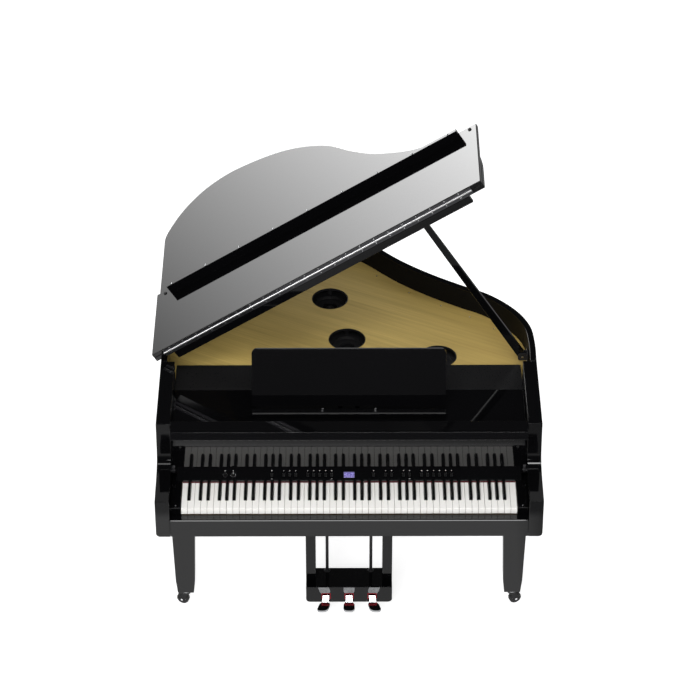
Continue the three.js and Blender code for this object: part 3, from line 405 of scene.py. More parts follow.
def cutFrom(shape, cutters):
    # the cut is made once, and its result is what stays
    pieces = [placed(source, f"cut{index}") for index, source in enumerate([shape] + list(cutters))]
    for cutter in pieces[1:]:
        change = pieces[0].modifiers.new("cut", "BOOLEAN")
        change.operation = "DIFFERENCE"
        change.solver = "EXACT"
        change.object = cutter
    ready = pieces[0].evaluated_get(bpy.context.evaluated_depsgraph_get())
    result = bmesh.new()
    result.from_mesh(ready.to_mesh())
    ready.to_mesh_clear()
    for piece in pieces:
        mesh = piece.data
        bpy.data.objects.remove(piece)
        bpy.data.meshes.remove(mesh)
    bmesh.ops.remove_doubles(result, verts=result.verts[:], dist=0.001)
    return result


def finishPiece(name, shape, body, finish, space=identity, replaces=(), crease=38):
    shape.transform(toFrame @ space)
    piece = placed(shape, name)
    mesh = piece.data
    mesh.polygons.foreach_set("use_smooth", [True] * len(mesh.polygons))
    mesh.set_sharp_from_angle(angle=math.radians(crease))
    mesh.materials.append(finishes[finish])
    weights = piece.modifiers.new("evenShading", "WEIGHTED_NORMAL")
    weights.keep_sharp = True
    weights.weight = 90
    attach(piece, body)
    if replaces:
        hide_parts(*([replaces] if isinstance(replaces, str) else replaces))
    return piece


def screwHead(radius, height, place, turn=identity, slot=True):
    # a low domed head with a cross recess
    dome = [(0, 0), (radius, 0), (radius * 0.96, height * 0.45), (radius * 0.7, height * 0.85), (0, height)]
    shape = spun(dome, sides=20)
    if slot:
        cutters = []
        for angle in (45, 135):
            bar = block(-radius * 0.62, radius * 0.62, -radius * 0.12, radius * 0.12,
                        height * 0.35, height * 2, 0)
            bar.transform(Matrix.Rotation(math.radians(angle), 4, "Z"))
            cutters.append(bar)
        shape = cutFrom(shape, cutters)
    shape.transform(Matrix.Translation(place) @ turn)
    return shape


def finishScrews(name, size, places, body, finish, turn=identity, space=identity, slot=True):
    heads = [screwHead(*size, place, turn, slot) for place in places]
    finishPiece(name, joined(*heads), body, finish, space)


def tilted(x, y, z, axis, degrees):
    return Matrix.Translation((x, y, z)) @ Matrix.Rotation(math.radians(degrees), 4, axis)


lidOpen = 32.44
lidAxis = {"x": -703, "z": 989}
propFoot = {"x": 656, "y": 678, "z": 936}
propAcross, propDrop = propFoot["x"] - lidAxis["x"], propFoot["z"] - lidAxis["z"]
lidSpace = tilted(lidAxis["x"], 0, lidAxis["z"], "Y", -lidOpen)
restSpace = tilted(0, 363, 933, "X", -20)
panelSpace = tilted(0, 150.5, 752, "X", 45)
propSpace = tilted(propFoot["x"], propFoot["y"], propFoot["z"], "Y", -lidOpen)
strutSpace = restSpace @ tilted(0, 13.5, 100, "X", 20 - 63.6)


def makeCase():
    wall = {"edge": 2.4, "rimThick": 24, "lining": 0.45, "footRound": 15}
    half, top, bottom = layout["caseHalf"], layout["rimTop"], layout["bottom"]
    slope = smoothLine([(-40, 803), (36, 808.5), (112, 816.5), (150, 830), (166, 846), (173, 877),
                        (177, 928), (178.6, 968), (180, 988)], 6)
    for name, side in (("left", -1), ("right", 1)):
        outline = [(-40, bottom)] + [(569, bottom), (569, top)] + slope[::-1]
        inner, outer = side * layout["armInner"], side * half
        arm = slab(outline, "x", min(inner, outer), max(inner, outer))
        soften(arm, wall["footRound"], 6, 60,
               lambda edge: all(vert.co.z < bottom + 1 and abs(vert.co.x) > half - 1 for vert in edge.verts))
        soften(arm, wall["edge"], 3, 40)
        finishPiece(f"{name}Arm", arm, "case", "lacquer", replaces=f"{name}_arm", crease=45)

    rimPath = smoothLine([(half, 569.4), (half, 690), (690, 800), (640, 905), (548, 1005), (434, 1076),
                          (319, 1153), (203, 1248), (75, 1380), (-75, 1508), (-228, 1579), (-421, 1613),
                          (-580, 1562), (-675, 1455), (-half, 1340), (-half, 1300)], 10)
    outside = [Vector(point) for point in rimPath]
    inside = offsetLine(outside, wall["rimThick"])
    cut = int(len(outside) * 0.52)
    stretches = (("bentside", "bentside", 0, cut), ("roundTail", "tail", cut, len(outside) - 1))
    for name, node, low, high in stretches:
        outline = [tuple(point) for point in outside[low:high + 1] + inside[low:high + 1][::-1]]
        rim = slab(outline, "z", bottom, top)
        soften(rim, wall["edge"], 3, 60)
        finishPiece(name, rim, "case", "lacquer", replaces=node, crease=45)
    outline = [tuple(point) for point in inside + offsetLine(inside, wall["lining"])[::-1]]
    finishPiece("rimLining", slab(outline, "z", 898.6, 984.5), "case", "lining")
    spine = block(-half, -layout["rimInner"], 569.4, 1299.7, bottom, top, wall["edge"], 3)
    finishPiece("straightSide", spine, "case", "lacquer", replaces="spine")

    # a hinge at each end of the straight side: leaf, knuckles, pin and screws
    for number, place in enumerate((720, 1180)):
        leaf = block(-705.2, -702.9, place - 35, place + 35, 938, 976, 0.5)
        knuckles = [rod(3.0, "y", place - 35 + step * 14 + 0.4, place - 35 + (step + 1) * 14 - 0.4,
                        (-705.3, 980), 0.4) for step in range(5)]
        pin = rod(1.3, "y", place - 35.3, place + 35.3, (-705.3, 980), 0.3)
        finishPiece(f"sideHinge{number}", joined(leaf, *knuckles, pin), "case", "chrome")
        spots = [(-705.2, place + shift, height) for shift, height in ((-24, 950), (0, 964), (24, 950))]
        finishScrews(f"sideHingeScrews{number}", (3.4, 1.3), spots, "case", "steel", turnTo["-x"])


def makeFront():
    rail = {"top": 714, "front": -38, "rear": -5, "chamfer": 1.9}
    side = layout["armInner"] - 0.4
    slip = slab([(rail["front"], 640), (rail["rear"], 640), (rail["rear"], rail["top"]),
                 (rail["front"] + rail["chamfer"], rail["top"]),
                 (rail["front"], rail["top"] - rail["chamfer"])], "x", -side, side)
    soften(slip, 1.0, 2, 60)
    finishPiece("keySlip", slip, "case", "lacquer", replaces="key_slip", crease=30)
    for name, sign in (("left", -1), ("right", 1)):
        low, high = sorted((sign * 613, sign * side))
        cheek = block(low, high, -1.2, 200, 664.4, 744.7, 1.5, 3)
        finishPiece(f"{name}Cheek", cheek, "case", "lacquer", replaces=f"{name}_cheek")
        finishScrews(f"{name}CheekScrew", (3.6, 1.4), [(sign * 631, 12, 744.6)], "case", "steel")
    felt = slab([(150.2, 731), (155, 731), (155, 744.6), (150.2, 744.6)], "x", -611, 611, 1.4, 3)
    finishPiece("keyFelt", felt, "case", "wineFelt")
    finishPiece("backBoard", block(-side, side, 236, 248, 664.4, 897.6, 0.8), "case", "boardBlack",
                replaces="front_board")
    for node, look in (("keybed", "boardBlack"), ("case_floor", "boardBlack"), ("key_frame", "bareWood")):
        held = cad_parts[node].data.materials
        held.clear()
        held.append(finishes[look])


def makeKeys():
    key = {"pitch": 23.5, "gap": 1.0, "top": 740, "low": 716, "length": 215, "blackHalf": 5.0, "notch": 6.5,
           "notchFront": 47.5}
    left = -26 * key["pitch"]
    blackShares = (0.9, 2.1, 3.87, 5.0, 6.13)
    blacks = []
    for octave in range(-1, 7):
        blacks += [left + (2 + 7 * octave + share) * key["pitch"] for share in blackShares]
    blacks = [centre for centre in blacks if centre > left]
    groups = (0, 9, 16, 23, 30, 37, 44, 52)
    shown = set()
    for index in range(52):
        low = left + index * key["pitch"] + key["gap"] / 2
        high = low + key["pitch"] - key["gap"]
        leftBlack = next((centre for centre in blacks if abs(centre - low) < 8), None)
        rightBlack = next((centre for centre in blacks if abs(centre - high) < 8), None)
        outline = [(low, 0, 0.9), (high, 0, 0.9)]
        if rightBlack:
            outline += [(high, key["notchFront"], 0.8), (rightBlack - key["notch"], key["notchFront"]),
                        (rightBlack - key["notch"], key["length"])]
        else:
            outline += [(high, key["length"])]
        if leftBlack:
            outline += [(leftBlack + key["notch"], key["length"]),
                        (leftBlack + key["notch"], key["notchFront"]), (low, key["notchFront"], 0.8)]
        else:
            outline += [(low, key["length"])]
        shape = slab(outline, "z", key["low"], key["top"], cornerSteps=2)
        soften(shape, 0.9, 3, 50, lambda edge: all(vert.co.z > key["top"] - 0.1 for vert in edge.verts))
        group = next(number for number in range(7) if index < groups[number + 1]) + 1
        node = f"white_keys_{group}"
        finishPiece(f"whiteKey{index + 1:02d}", shape, node, "keyWhite",
                    replaces=() if node in shown else node)
        shown.add(node)
    profile = [(50, 716), (131, 716), (131, 697), (215, 697), (215, 709), (148, 709), (148, 752, 2),
               (57.5, 752, 3), (50, 741, 1.5)]
    for index, centre in enumerate(blacks):
        shape = slab(profile, "x", centre - key["blackHalf"], centre + key["blackHalf"], cornerSteps=3)
        for vert in shape.verts:  # the sides lean in towards the top
            if vert.co.z > 738:
                lean = 1 - 0.16 * (vert.co.z - 738) / 14
                vert.co.x = centre + (vert.co.x - centre) * lean
        soften(shape, 1.1, 3, 50)
        place = (centre - left) / key["pitch"]
        group = next(number for number in range(7) if place < groups[number + 1]) + 1
        node = f"black_keys_{group}"
        finishPiece(f"blackKey{index + 1:02d}", shape, node, "keyBlack",
                    replaces=() if node in shown else node, crease=50)
        shown.add(node)


def makePanel():
    panel = {"half": 633, "sheet": 3.5, "face": 49}
    rise = panel["face"] * math.sin(math.radians(45))
    bend = panel["sheet"] * math.tan(math.radians(22.5))
    front, lip, thick = 150.5, 752, panel["sheet"]
    shape = slab([(front, 745), (front + thick, 745), (front + thick, lip - bend),
                  (front + rise + bend, lip + rise - thick), (200, lip + rise - thick), (200, lip + rise),
                  (front + rise, lip + rise, 1.5), (front, lip, 1.5)],
                 "x", -panel["half"], panel["half"], 0.6, 2)
    buttonShares = (-13, -11, -10, -9, -7, -6, -5, -4, -3, 4, 6, 7, 9, 10, 12, 13, 14, 15, 16, 17)
    places = [share * 22 + 2 for share in buttonShares]
    cutters = []
    for x in places:
        cutters.append(block(x - 4.8, x + 4.8, 13.7, 26.3, -12, 6, 0))
    cutters.append(block(-19.3, 19.3, 9.7, 30.3, -12, 6, 0))
    cutters.append(rod(7.9, "z", -12, 6, (-455, 20)))
    cutters.append(rod(3.4, "z", -12, 6, (-425, 20)))
    for cutter in cutters:
        cutter.transform(panelSpace)
    finishPiece("controlPanel", cutFrom(shape, cutters), "case", "lacquer", replaces="control_panel",
                crease=30)

    screen = block(-19, 19, 10, 30, -3.2, -0.6, 0.3)
    finishPiece("display", screen, "case", "screen", panelSpace, replaces="display")
    bezel = [block(-20, 20, 8.6, 9.8, 0, 0.5, 0.15), block(-20, 20, 30.2, 31.4, 0, 0.5, 0.15),
             block(-20.4, -19.2, 8.6, 31.4, 0, 0.5, 0.15), block(19.2, 20.4, 8.6, 31.4, 0, 0.5, 0.15)]
    finishPiece("displayBezel", joined(*bezel), "case", "satinBlack", panelSpace)

    pad = [block(places[0] - 7.5, places[-1] + 7.5, 14, 26, -5.3, -3.8, 0.3)]
    for x in places:
        pad.append(block(x - 4.5, x + 4.5, 14, 26, -4.6, 1.4, 0.8, 3, 1.2))
    finishPiece("buttonPad", joined(*pad), "button_pad", "controlBlack", panelSpace, replaces="button_pad")
    power = spun([(0, -3.5), (7.5, -3.5), (7.5, 1.4), (7.1, 2.0), (5.6, 2.0), (4.4, 1.4), (0, 1.2)],
                 (-455, 20, 0))
    finishPiece("powerButton", power, "power_button", "controlBlack", panelSpace, replaces="power_button")
    ringLine = [(8.4, 0), (9.7, 0), (9.7, 0.5), (9.4, 0.9), (8.7, 0.9), (8.4, 0.5)]
    finishPiece("powerRing", spun(ringLine, (-455, 20, 0)), "case", "chrome", panelSpace)
    knob = spun([(0, -8.6), (3, -8.6), (3, 0.4), (8, 0.4), (8, 6.6), (7.4, 8.4), (6.4, 9), (0, 9)],
                (-425, 20, 0))
    finishPiece("volumeKnob", knob, "volume_knob", "controlBlack", panelSpace, replaces="volume_knob")
    pointer = block(-425.7, -424.3, 22, 27.4, 8.9, 9.25, 0.1)
    finishPiece("volumePointer", pointer, "volume_knob", "mark", panelSpace)
    finishPiece("volumeRing", spun(ringLine, (-425, 20, 0)), "case", "chrome", panelSpace)

    # plain marks above the controls: a dash or a dot each, no lettering
    marks = []
    for number, x in enumerate(places + [-455, -425]):
        width = (1.5, 1.2, 1.8)[number % 3]
        marks.append(block(x - width, x + width, 34.2, 36.0, -0.01, 0.12, 0))
    for x in (-284, -64, 222):
        marks.append(block(x - 3, x + 3, 4.6, 5.3, -0.01, 0.12, 0))
    finishPiece("panelMarks", joined(*marks), "case", "mark", panelSpace)


def makeKeyCover():
    cover = {"face": 184, "rear": 200, "low": 787.5, "high": 987, "nose": 118, "slant": 13, "under": 958,
             "half": 649}
    shape = slab([(cover["face"], cover["low"], 2.5), (cover["rear"], cover["low"], 2.5),
                  (cover["rear"], cover["high"], 3),
                  (cover["nose"] + cover["slant"], cover["high"], 1.2), (cover["nose"], cover["under"], 3),
                  (cover["face"], cover["under"], 9)], "x", -cover["half"], cover["half"], cornerSteps=7)
    soften(shape, 1.2, 2, 70)
    groove = slab([(139, 986.2), (141.2, 986.2), (141.2, 988), (139, 988)], "x",
                  -cover["half"] + 4, cover["half"] - 4)
    finishPiece("keyCover", cutFrom(shape, [groove]), "key_cover", "coverLacquer", replaces="key_cover",
                crease=30)
    for name, sign in (("left", -1), ("right", 1)):
        low, high = sorted((sign * 639, sign * 649))
        lug = slab([(171, 771, 4), (184, 771, 6), (199, 789, 2), (199, 797), (184.4, 797), (176, 788, 5),
                    (167.2, 788, 6), (167.2, 776, 6)], "x", low, high, 0.8, 2)
        bore = rod(4.0, "x", low - 2, high + 2, (176, 779))
        finishPiece(f"{name}CoverLug", cutFrom(lug, [bore]), "key_cover", "satinBlack")
        pinLow, pinHigh = sorted((sign * 638.4, sign * 653))
        finishPiece(f"{name}CoverPin", rod(3.5, "x", pinLow, pinHigh, (176, 779), 0.5), "case", "steel")
        bumper = spun([(0, 0), (5, 0), (4.6, 2.2), (3, 3.2), (0, 3.4)], (sign * 617, 184.2, 881),
                      turnTo["-y"])
        finishPiece(f"{name}CoverBumper", bumper, "key_cover", "rubber")


def makeRest():
    rest = {"half": 358, "high": 221}
    side = layout["armInner"] - 0.6
    finishPiece("musicShelf", block(-side, side, 204, 494.6, 898.5, 910, 1.2, 2), "case", "lacquer",
                replaces="music_shelf")
    finishPiece("rearShelf", block(-side, side, 495.2, 653, 898.5, 910, 1.2, 2), "case", "shelfSatin",
                replaces="rear_shelf")
    ledge = slab([(316, 910.4), (357, 910.4), (357, 928, 2), (327, 928, 1.5), (326, 932, 1),
                  (316, 932, 3)], "x", -rest["half"], rest["half"], 0.8, 2)
    finishPiece("restLedge", ledge, "case", "lacquer", replaces="rest_ledge")
    for number, x in enumerate((-96.5, 98.9)):
        stop = spun([(0, 0), (4.2, 0), (4.2, 5), (3.4, 6.5), (0, 7)], (x, 345, 928), sides=24)
        finishPiece(f"restStop{number}", stop, "case", "chrome")
    board = slab([(-rest["half"], 0.6), (rest["half"], 0.6), (rest["half"], rest["high"], 20),
                  (-rest["half"], rest["high"], 20)], "y", -4, 10, 1.6, 3, 7)
    finishPiece("musicRest", board, "music_rest", "lacquer", restSpace, replaces="music_rest")
    for name, sign in (("left", -1), ("right", 1)):
        low, high = sorted((sign * 40.6, sign * 46.4))
        ear = slab([(9, 92), (15, 93, 3), (17, 100, 3), (15, 107, 3), (9, 108)], "x", low, high, 0.5, 2)
        bore = rod(2.4, "x", low - 1, high + 1, (13.5, 100), sides=16)
        finishPiece(f"{name}StrutEar", cutFrom(ear, [bore]), "music_rest", "steel", restSpace)
        low, high = sorted((sign * 250, sign * 300))
        leaf = block(low, high, 10, 11.2, 2, 26, 0.3)
        finishPiece(f"{name}RestHingeLeaf", leaf, "music_rest", "steel", restSpace)
        spots = [(sign * shift, 11.2, 14) for shift in (260, 275, 290)]
        finishScrews(f"{name}RestHingeScrews", (3, 1.1), spots, "music_rest", "darkScrew", turnTo["y"],
                     restSpace)
    strut = slab([(-40, 0), (40, 0), (40, 123.8, 8), (-40, 123.8, 8)], "z", -2.5, 2.5, 0.8, 2)
    window = slab([(-24, 24, 6), (24, 24, 6), (24, 100, 6), (-24, 100, 6)], "z", -5, 5)
    pin = rod(2.0, "x", -46, 46, (0, 0), 0.3)
    finishPiece("restStrut", joined(cutFrom(strut, [window]), pin), "rest_strut", "satinBlack", strutSpace,
                replaces="rest_strut")


def makeSoundboard():
    board = {"top": 898, "thick": 8, "hole": 69}
    holes = ((-72, 1110), (-6, 836), (340, 723))
    half = layout["rimInner"] - 0.5
    inner = smoothLine([(half, 571), (half, 690), (666.3, 796), (619, 889.5), (534, 984.5), (420.6, 1056),
                        (305, 1133.5), (186.5, 1230.5), (59, 1362), (-88, 1487), (-235, 1555.5),
                        (-418, 1588.5), (-565, 1543), (-653, 1445), (-half, 1335), (-half, 1300)], 8)
    shape = slab(inner + [(-half, 571)], "z", board["top"] - board["thick"], board["top"])
    cutters = [rod(board["hole"], "z", 880, 908, place, sides=72) for place in holes]
    finishPiece("soundboard", cutFrom(shape, cutters), "case", "spruce", replaces="soundboard", crease=30)
    edge = ((560, 905), (470, 985), (360, 1060), (238, 1150), (112, 1268), (-20, 1400))
    finishScrews("boardScrews", (3.4, 1.3), [(x, y, 897.9) for x, y in edge], "case", "steel", slot=False)
    # the rings in and under each opening: name, finish, sides and half section
    rings = (
        ("holeTrim", "satinBlack", 72, [(68.9, 889.6), (69.4, 889.6), (70.8, 897.9), (70.8, 898.8),
                                        (70.3, 899.4), (69.0, 899.4), (68.0, 899.0)]),
        ("baffleRing", "satinBlack", 72, [(30, 850), (103, 850), (103, 861), (101.5, 862), (70, 862),
                                          (69, 860), (30, 860)]),
        ("coneSurround", "rubber", 72, [(56, 858), (58, 862.4), (61.5, 864.6), (65, 863), (67, 859),
                                        (67, 857), (56, 856)]),
        ("speakerCone", "cone", 72, [(0, 852), (16, 852), (56.5, 857.6), (56.5, 856.4), (16, 850.6),
                                     (0, 850.4)]),
        ("coneCap", "rubber", 48, [(0, 851), (17, 851.4), (16, 855), (11, 858), (5, 859.4), (0, 859.8)]),
    )
    for number, (x, y) in enumerate(holes):
        for name, look, sides, line in rings:
            finishPiece(f"{name}{number}", spun(line, (x, y, 0), sides=sides), "case", look,
                        replaces="speaker_baffle" if f"{name}{number}" == "baffleRing0" else ())
        for corner in range(3):
            angle = math.radians(90 + 120 * corner)
            px, py = x + 93 * math.cos(angle), y + 93 * math.sin(angle)
            post = rod(10, "z", 856, 889.7, (px, py), 0.6)
            finishPiece(f"bafflePost{number}{corner}", post, "case", "satinBlack")


def makeLid():
    lid = {"left": -18, "right": 1414, "fold": 581, "thick": 19, "edge": 2.2}
    outline = [(711, 690), (709, 745), (697, 812), (667, 875), (632, 938), (555, 1000), (479, 1039),
               (414, 1068), (326, 1126), (237, 1199), (147, 1298), (55, 1414), (-38, 1494), (-133, 1553),
               (-228, 1591), (-324, 1614), (-421, 1625), (-516, 1609), (-587, 1572), (-647, 1519),
               (-692, 1454), (-718, 1396), (-721, 1335)]
    curve = [(x - lidAxis["x"], y) for x, y in smoothLine(outline, 6)]
    shape = slab([(lid["left"], lid["fold"]), (lid["right"], lid["fold"])] + curve, "z", 0, lid["thick"])
    soften(shape, lid["edge"], 3, 50)
    finishPiece("mainLid", shape, "main_lid", "lacquer", lidSpace, replaces="main_lid", crease=45)
    batten = block(60, 1346, 582.5, 597, -31, -0.2, 1.5, 3)
    finishPiece("lidBatten", batten, "main_lid", "lacquer", lidSpace)
    opening = math.radians(lidOpen)
    reach = propAcross * math.cos(opening) + propDrop * math.sin(opening)
    cup = block(reach - 27, reach + 27, 661, 695, -4, -0.2, 0.8, 2, 5)
    finishPiece("propCup", cup, "main_lid", "satinBlack", lidSpace)
    spots = [(reach + shift, propFoot["y"], -4) for shift in (-20, 20)]
    finishScrews("propCupScrews", (3.2, 1.2), spots, "main_lid", "steel", turnTo["-z"], lidSpace)

    flap = block(lid["left"], lid["right"], lid["fold"], 977, 19.3, 35.3, lid["edge"], 3)
    finishPiece("frontLid", flap, "front_lid", "lacquer", lidSpace, replaces="front_lid")
    skirt = slab([(54, 35.6), (1348, 35.6), (1348, 73), (54, 73)], "y", 928, 944, 1.0, 3)
    finishPiece("frontLidSkirt", skirt, "front_lid", "lacquer", lidSpace, replaces="front_lid_skirt")
    caps = [spun([(0, 0), (4.2, 0), (4, 1.2), (2.6, 2.2), (0, 2.6)], (79 + step * 154, 935, 72.9), sides=20)
            for step in range(9)]
    finishPiece("skirtScrews", joined(*caps), "front_lid", "chrome", lidSpace)
    for number, (u, y) in enumerate(((22, 957), (1386, 957))):
        buffer = spun([(0, 0), (7, 0), (6.6, 3.4), (5, 4.6), (0, 4.8)], (u, y, 35.2), sides=32)
        finishPiece(f"lidBuffer{number}", buffer, "front_lid", "rubber", lidSpace)

    # the long hinge: knuckles on one pin, a leaf on each board, screws all along
    hinge = {"low": 28, "high": 1368, "y": 576.7, "n": 19.15, "radius": 3.5, "knuckle": 33.5}
    count = int((hinge["high"] - hinge["low"]) / hinge["knuckle"])
    knuckles = {0: [], 1: []}
    for step in range(count):
        start = hinge["low"] + step * hinge["knuckle"]
        knuckles[step % 2].append(rod(hinge["radius"], "x", start + 0.15, start + hinge["knuckle"] - 0.15,
                                      (hinge["y"], hinge["n"]), 0.15, 20))
    lower = block(hinge["low"], hinge["high"], 579.2, 580.7, 2, 18, 0.3)
    upper = block(hinge["low"], hinge["high"], 579.2, 580.7, 22.6, 33.2, 0.3)
    pin = rod(1.6, "x", hinge["low"] - 1, hinge["high"] + 1, (hinge["y"], hinge["n"]), 0.3, 16)
    finishPiece("lidHingeLower", joined(pin, *knuckles[0]), "main_lid", "hingeSteel", lidSpace,
                replaces="lid_hinge_leaf")
    finishPiece("lidHingeUpper", joined(*knuckles[1]), "front_lid", "hingeSteel", lidSpace)
    finishPiece("lidLeafLower", lower, "main_lid", "darkScrew", lidSpace)
    finishPiece("lidLeafUpper", upper, "front_lid", "darkScrew", lidSpace)
    for name, body, height in (("Lower", "main_lid", 9), ("Upper", "front_lid", 29)):
        spots = [(hinge["low"] + 30 + step * 60, 579.2, height) for step in range(22)]
        finishScrews(f"lidHingeScrews{name}", (2.8, 1.1), spots, body, "chrome", turnTo["-y"], lidSpace,
                     False)


def makeProp():
    prop = {"foot": 16.5, "tip": 11, "thick": 7}
    opening = math.radians(lidOpen)
    length = propAcross * math.sin(opening) - propDrop * math.cos(opening) - 4.3
    shape = slab([(-prop["foot"], -prop["foot"], 15), (prop["foot"], -prop["foot"], 15),
                  (prop["tip"], length, 7), (-prop["tip"], length, 7)],
                 "y", -prop["thick"], prop["thick"], 2.2, 3, 8)
    bore = rod(4.4, "y", -12, 12, sides=24)
    finishPiece("prop", cutFrom(shape, [bore]), "prop", "lacquer", propSpace, replaces="prop", crease=30)
    base = block(673.2, 677.9, 655, 701, 915, 957, 0.8, 2)
    cheeks = []
    for low, high in ((665.5, 670.6), (685.4, 690.5)):
        side = [(639.5, 920, 8), (673.8, 920), (673.8, 952), (639.5, 952, 12)]
        cheeks.append(slab(side, "y", low, high, 0.8, 2))
    pin = rod(4, "y", 663.5, 692.5, (propFoot["x"], propFoot["z"]), 0.6)
    finishPiece("propBracket", joined(base, *cheeks), "case", "satinBlack", replaces="prop_bracket")
    finishPiece("propPin", pin, "case", "steel")
    spots = [(673.3, y, z) for y in (660, 696) for z in (922, 950)]
    finishScrews("propBracketScrews", (3, 1.1), spots, "case", "steel", turnTo["-x"])


def makeLegs():
    leg = {"topHalf": 51.5, "footHalf": 31, "foot": 78, "depth": 76, "frontSet": 35}
    for name, x, y, turn in (("left", -628, 341, 70), ("right", 628, 341, -70), ("rear", -250, 1350, 14)):
        front = y - leg["frontSet"]
        taper = (leg["topHalf"] - leg["footHalf"]) / (639.7 - leg["foot"])
        waist = leg["footHalf"] + taper * 60 + 4
        shape = slab([(x - leg["footHalf"], leg["foot"]), (x + leg["footHalf"], leg["foot"]),
                      (x + waist, leg["foot"] + 60, 120), (x + leg["topHalf"], 639.7),
                      (x - leg["topHalf"], 639.7), (x - waist, leg["foot"] + 60, 120)],
                     "y", front, front + leg["depth"], cornerSteps=6)
        soften(shape, 2.6, 3, 40)
        finishPiece(f"{name}Leg", shape, "case", "lacquer", replaces=f"{name}_leg", crease=40)
        ferrule = block(x - 27, x + 27, y - 27, y + 27, 74.5, 78.2, 1, 2, 6)
        finishPiece(f"{name}LegPlate", ferrule, f"{name}_caster_fork", "casterBlack")

        caster = tilted(x, y, 0, "Z", turn)
        race = spun([(0, 66), (21, 66), (23.5, 68), (24, 71), (22, 74.4), (0, 74.4)], sides=48)
        stem = spun([(0, 52), (15.5, 52), (17, 54), (17, 66.2), (0, 66.2)], sides=48)
        plates = []
        for low, high in ((-14.5, -11.5), (11.5, 14.5)):
            side = [(5, 15, 5), (23, 15, 5), (23.5, 27, 4), (12, 61, 6), (-11, 61, 4), (-9, 52, 3)]
            plates.append(slab(side, "x", low, high, 0.8, 2))
        axle = rod(3, "x", -15.6, 15.6, (14, 23.8), 0.5)
        nuts = [rod(5, "x", -17.4, -14.5, (14, 23.8), 0.6, 6), rod(5, "x", 14.5, 17.4, (14, 23.8), 0.6, 6)]
        fork = f"{name}_caster_fork"
        finishPiece(f"{name}CasterFork", joined(stem, *plates), fork, "casterBlack", caster, replaces=fork)
        finishPiece(f"{name}CasterRace", joined(race, axle, *nuts), fork, "chrome", caster)
        tread = spun([(13, -10), (21, -10), (23, -9), (23.9, -6.5), (23.9, 6.5), (23, 9), (21, 10),
                      (13, 10)], sides=64)
        hub = spun([(3.5, -9.4), (7, -9.4), (8, -8), (12, -6.4), (13.4, -6.4), (13.4, 6.4), (12, 6.4),
                    (8, 8), (7, 9.4), (3.5, 9.4)], sides=64)
        spot = caster @ Matrix.Translation((0, 14, 23.9)) @ turnTo["x"]
        finishPiece(f"{name}CasterTyre", tread, f"{name}_caster_wheel", "rubber", spot,
                    replaces=f"{name}_caster_wheel")
        finishPiece(f"{name}CasterHub", hub, f"{name}_caster_wheel", "steel", spot)


def makeLyre():
    lyre = {"half": 165, "front": 272, "rear": 388, "low": 60, "high": 135}
    shape = slab([(-lyre["half"], lyre["low"], 15), (lyre["half"], lyre["low"], 15),
                  (lyre["half"], lyre["high"]), (-lyre["half"], lyre["high"])],
                 "y", lyre["front"], lyre["rear"], 2.2, 3, 7)
    slotsCut = [block(x - 17, x + 17, 260, 352, 75, 105, 0) for x in (-88, 0, 88)]
    finishPiece("lyreBox", cutFrom(shape, slotsCut), "case", "lacquer", replaces="lyre", crease=30)
    for name, sign in (("left", -1), ("right", 1)):
        low, high = sorted((sign * 127, sign * 165))
        finishPiece(f"{name}LyrePost", block(low, high, 313, 365, 133.4, 639.7, 2.2, 3), "case", "lacquer")
        brace = rod(6, "z", 135.3, 639.7, (sign * 84, 372), 0.8)
        place = (sign * 84, 372, 0)
        flange = [spun([(6, 135.1), (13, 135.1), (13, 137), (9, 139), (6.2, 141)], place, sides=32),
                  spun([(6, 639.7), (13, 639.7), (13, 638), (9, 636), (6.2, 634)], place, sides=32)]
        finishPiece(f"{name}LyreBrace", joined(brace, *flange), "case", "satinBlack",
                    replaces=f"lyre_{name}_brace")
    pedal = {"splay": 5.5, "neck": 268, "heel": 249.6, "fall": 18.4, "drop": 17, "lift": 0.121}
    for name, x in (("left", -88), ("middle", 0), ("right", 88)):
        splay = math.tan(math.radians(pedal["splay"])) * ((x > 0) - (x < 0))
        outline = [(x - 22, 191, 17), (x + 22, 191, 17), (x + 21, 236, 14), (x + 12, 252, 14), (x + 12, 333),
                   (x + 16.6, 333), (x + 16.6, 342), (x - 16.6, 342), (x - 16.6, 333), (x - 12, 333),
                   (x - 12, 252, 14), (x - 21, 236, 14)]
        toe = slab(outline, "z", 87, 96, cornerSteps=6)
        for cut in (225, 240, pedal["heel"], pedal["neck"], 271):
            bmesh.ops.bisect_plane(toe, geom=toe.verts[:] + toe.edges[:] + toe.faces[:], plane_co=(0, cut, 0),
                                   plane_no=(0, 1, 0))
        soften(toe, 3.2, 4, 45)
        for vert in toe.verts:
            # the neck falls away in front of the box, and the toe lifts again towards its tip
            share = min(max((pedal["neck"] - vert.co.y) / pedal["fall"], 0), 1)
            vert.co.z += pedal["lift"] * max(pedal["heel"] - vert.co.y, 0) - pedal["drop"] * share
            if vert.co.y < lyre["front"]:
                run = lyre["front"] - vert.co.y
                vert.co.x += (342 - vert.co.y) * splay * run / 71
        finishPiece(f"{name}Pedal", toe, f"{name}_pedal", "chrome", replaces=f"{name}_pedal", crease=40)
        collar = slab([(x - 17.6, 75.6), (x + 17.6, 75.6), (x + 17.6, 104.2), (x - 17.6, 104.2)], "y",
                      271.2, 272.6, 0.4, 2)
        window = block(x - 14.4, x + 14.4, 268, 280, 79, 101, 0, 1, 4)
        finishPiece(f"{name}SlotFelt", cutFrom(collar, [window]), "case", "redFelt")


for make in (makeCase, makeFront, makeKeys, makePanel, makeKeyCover, makeRest, makeSoundboard, makeLid,
             makeProp, makeLegs, makeLyre):
    make()
    print(make.__name__, "done")


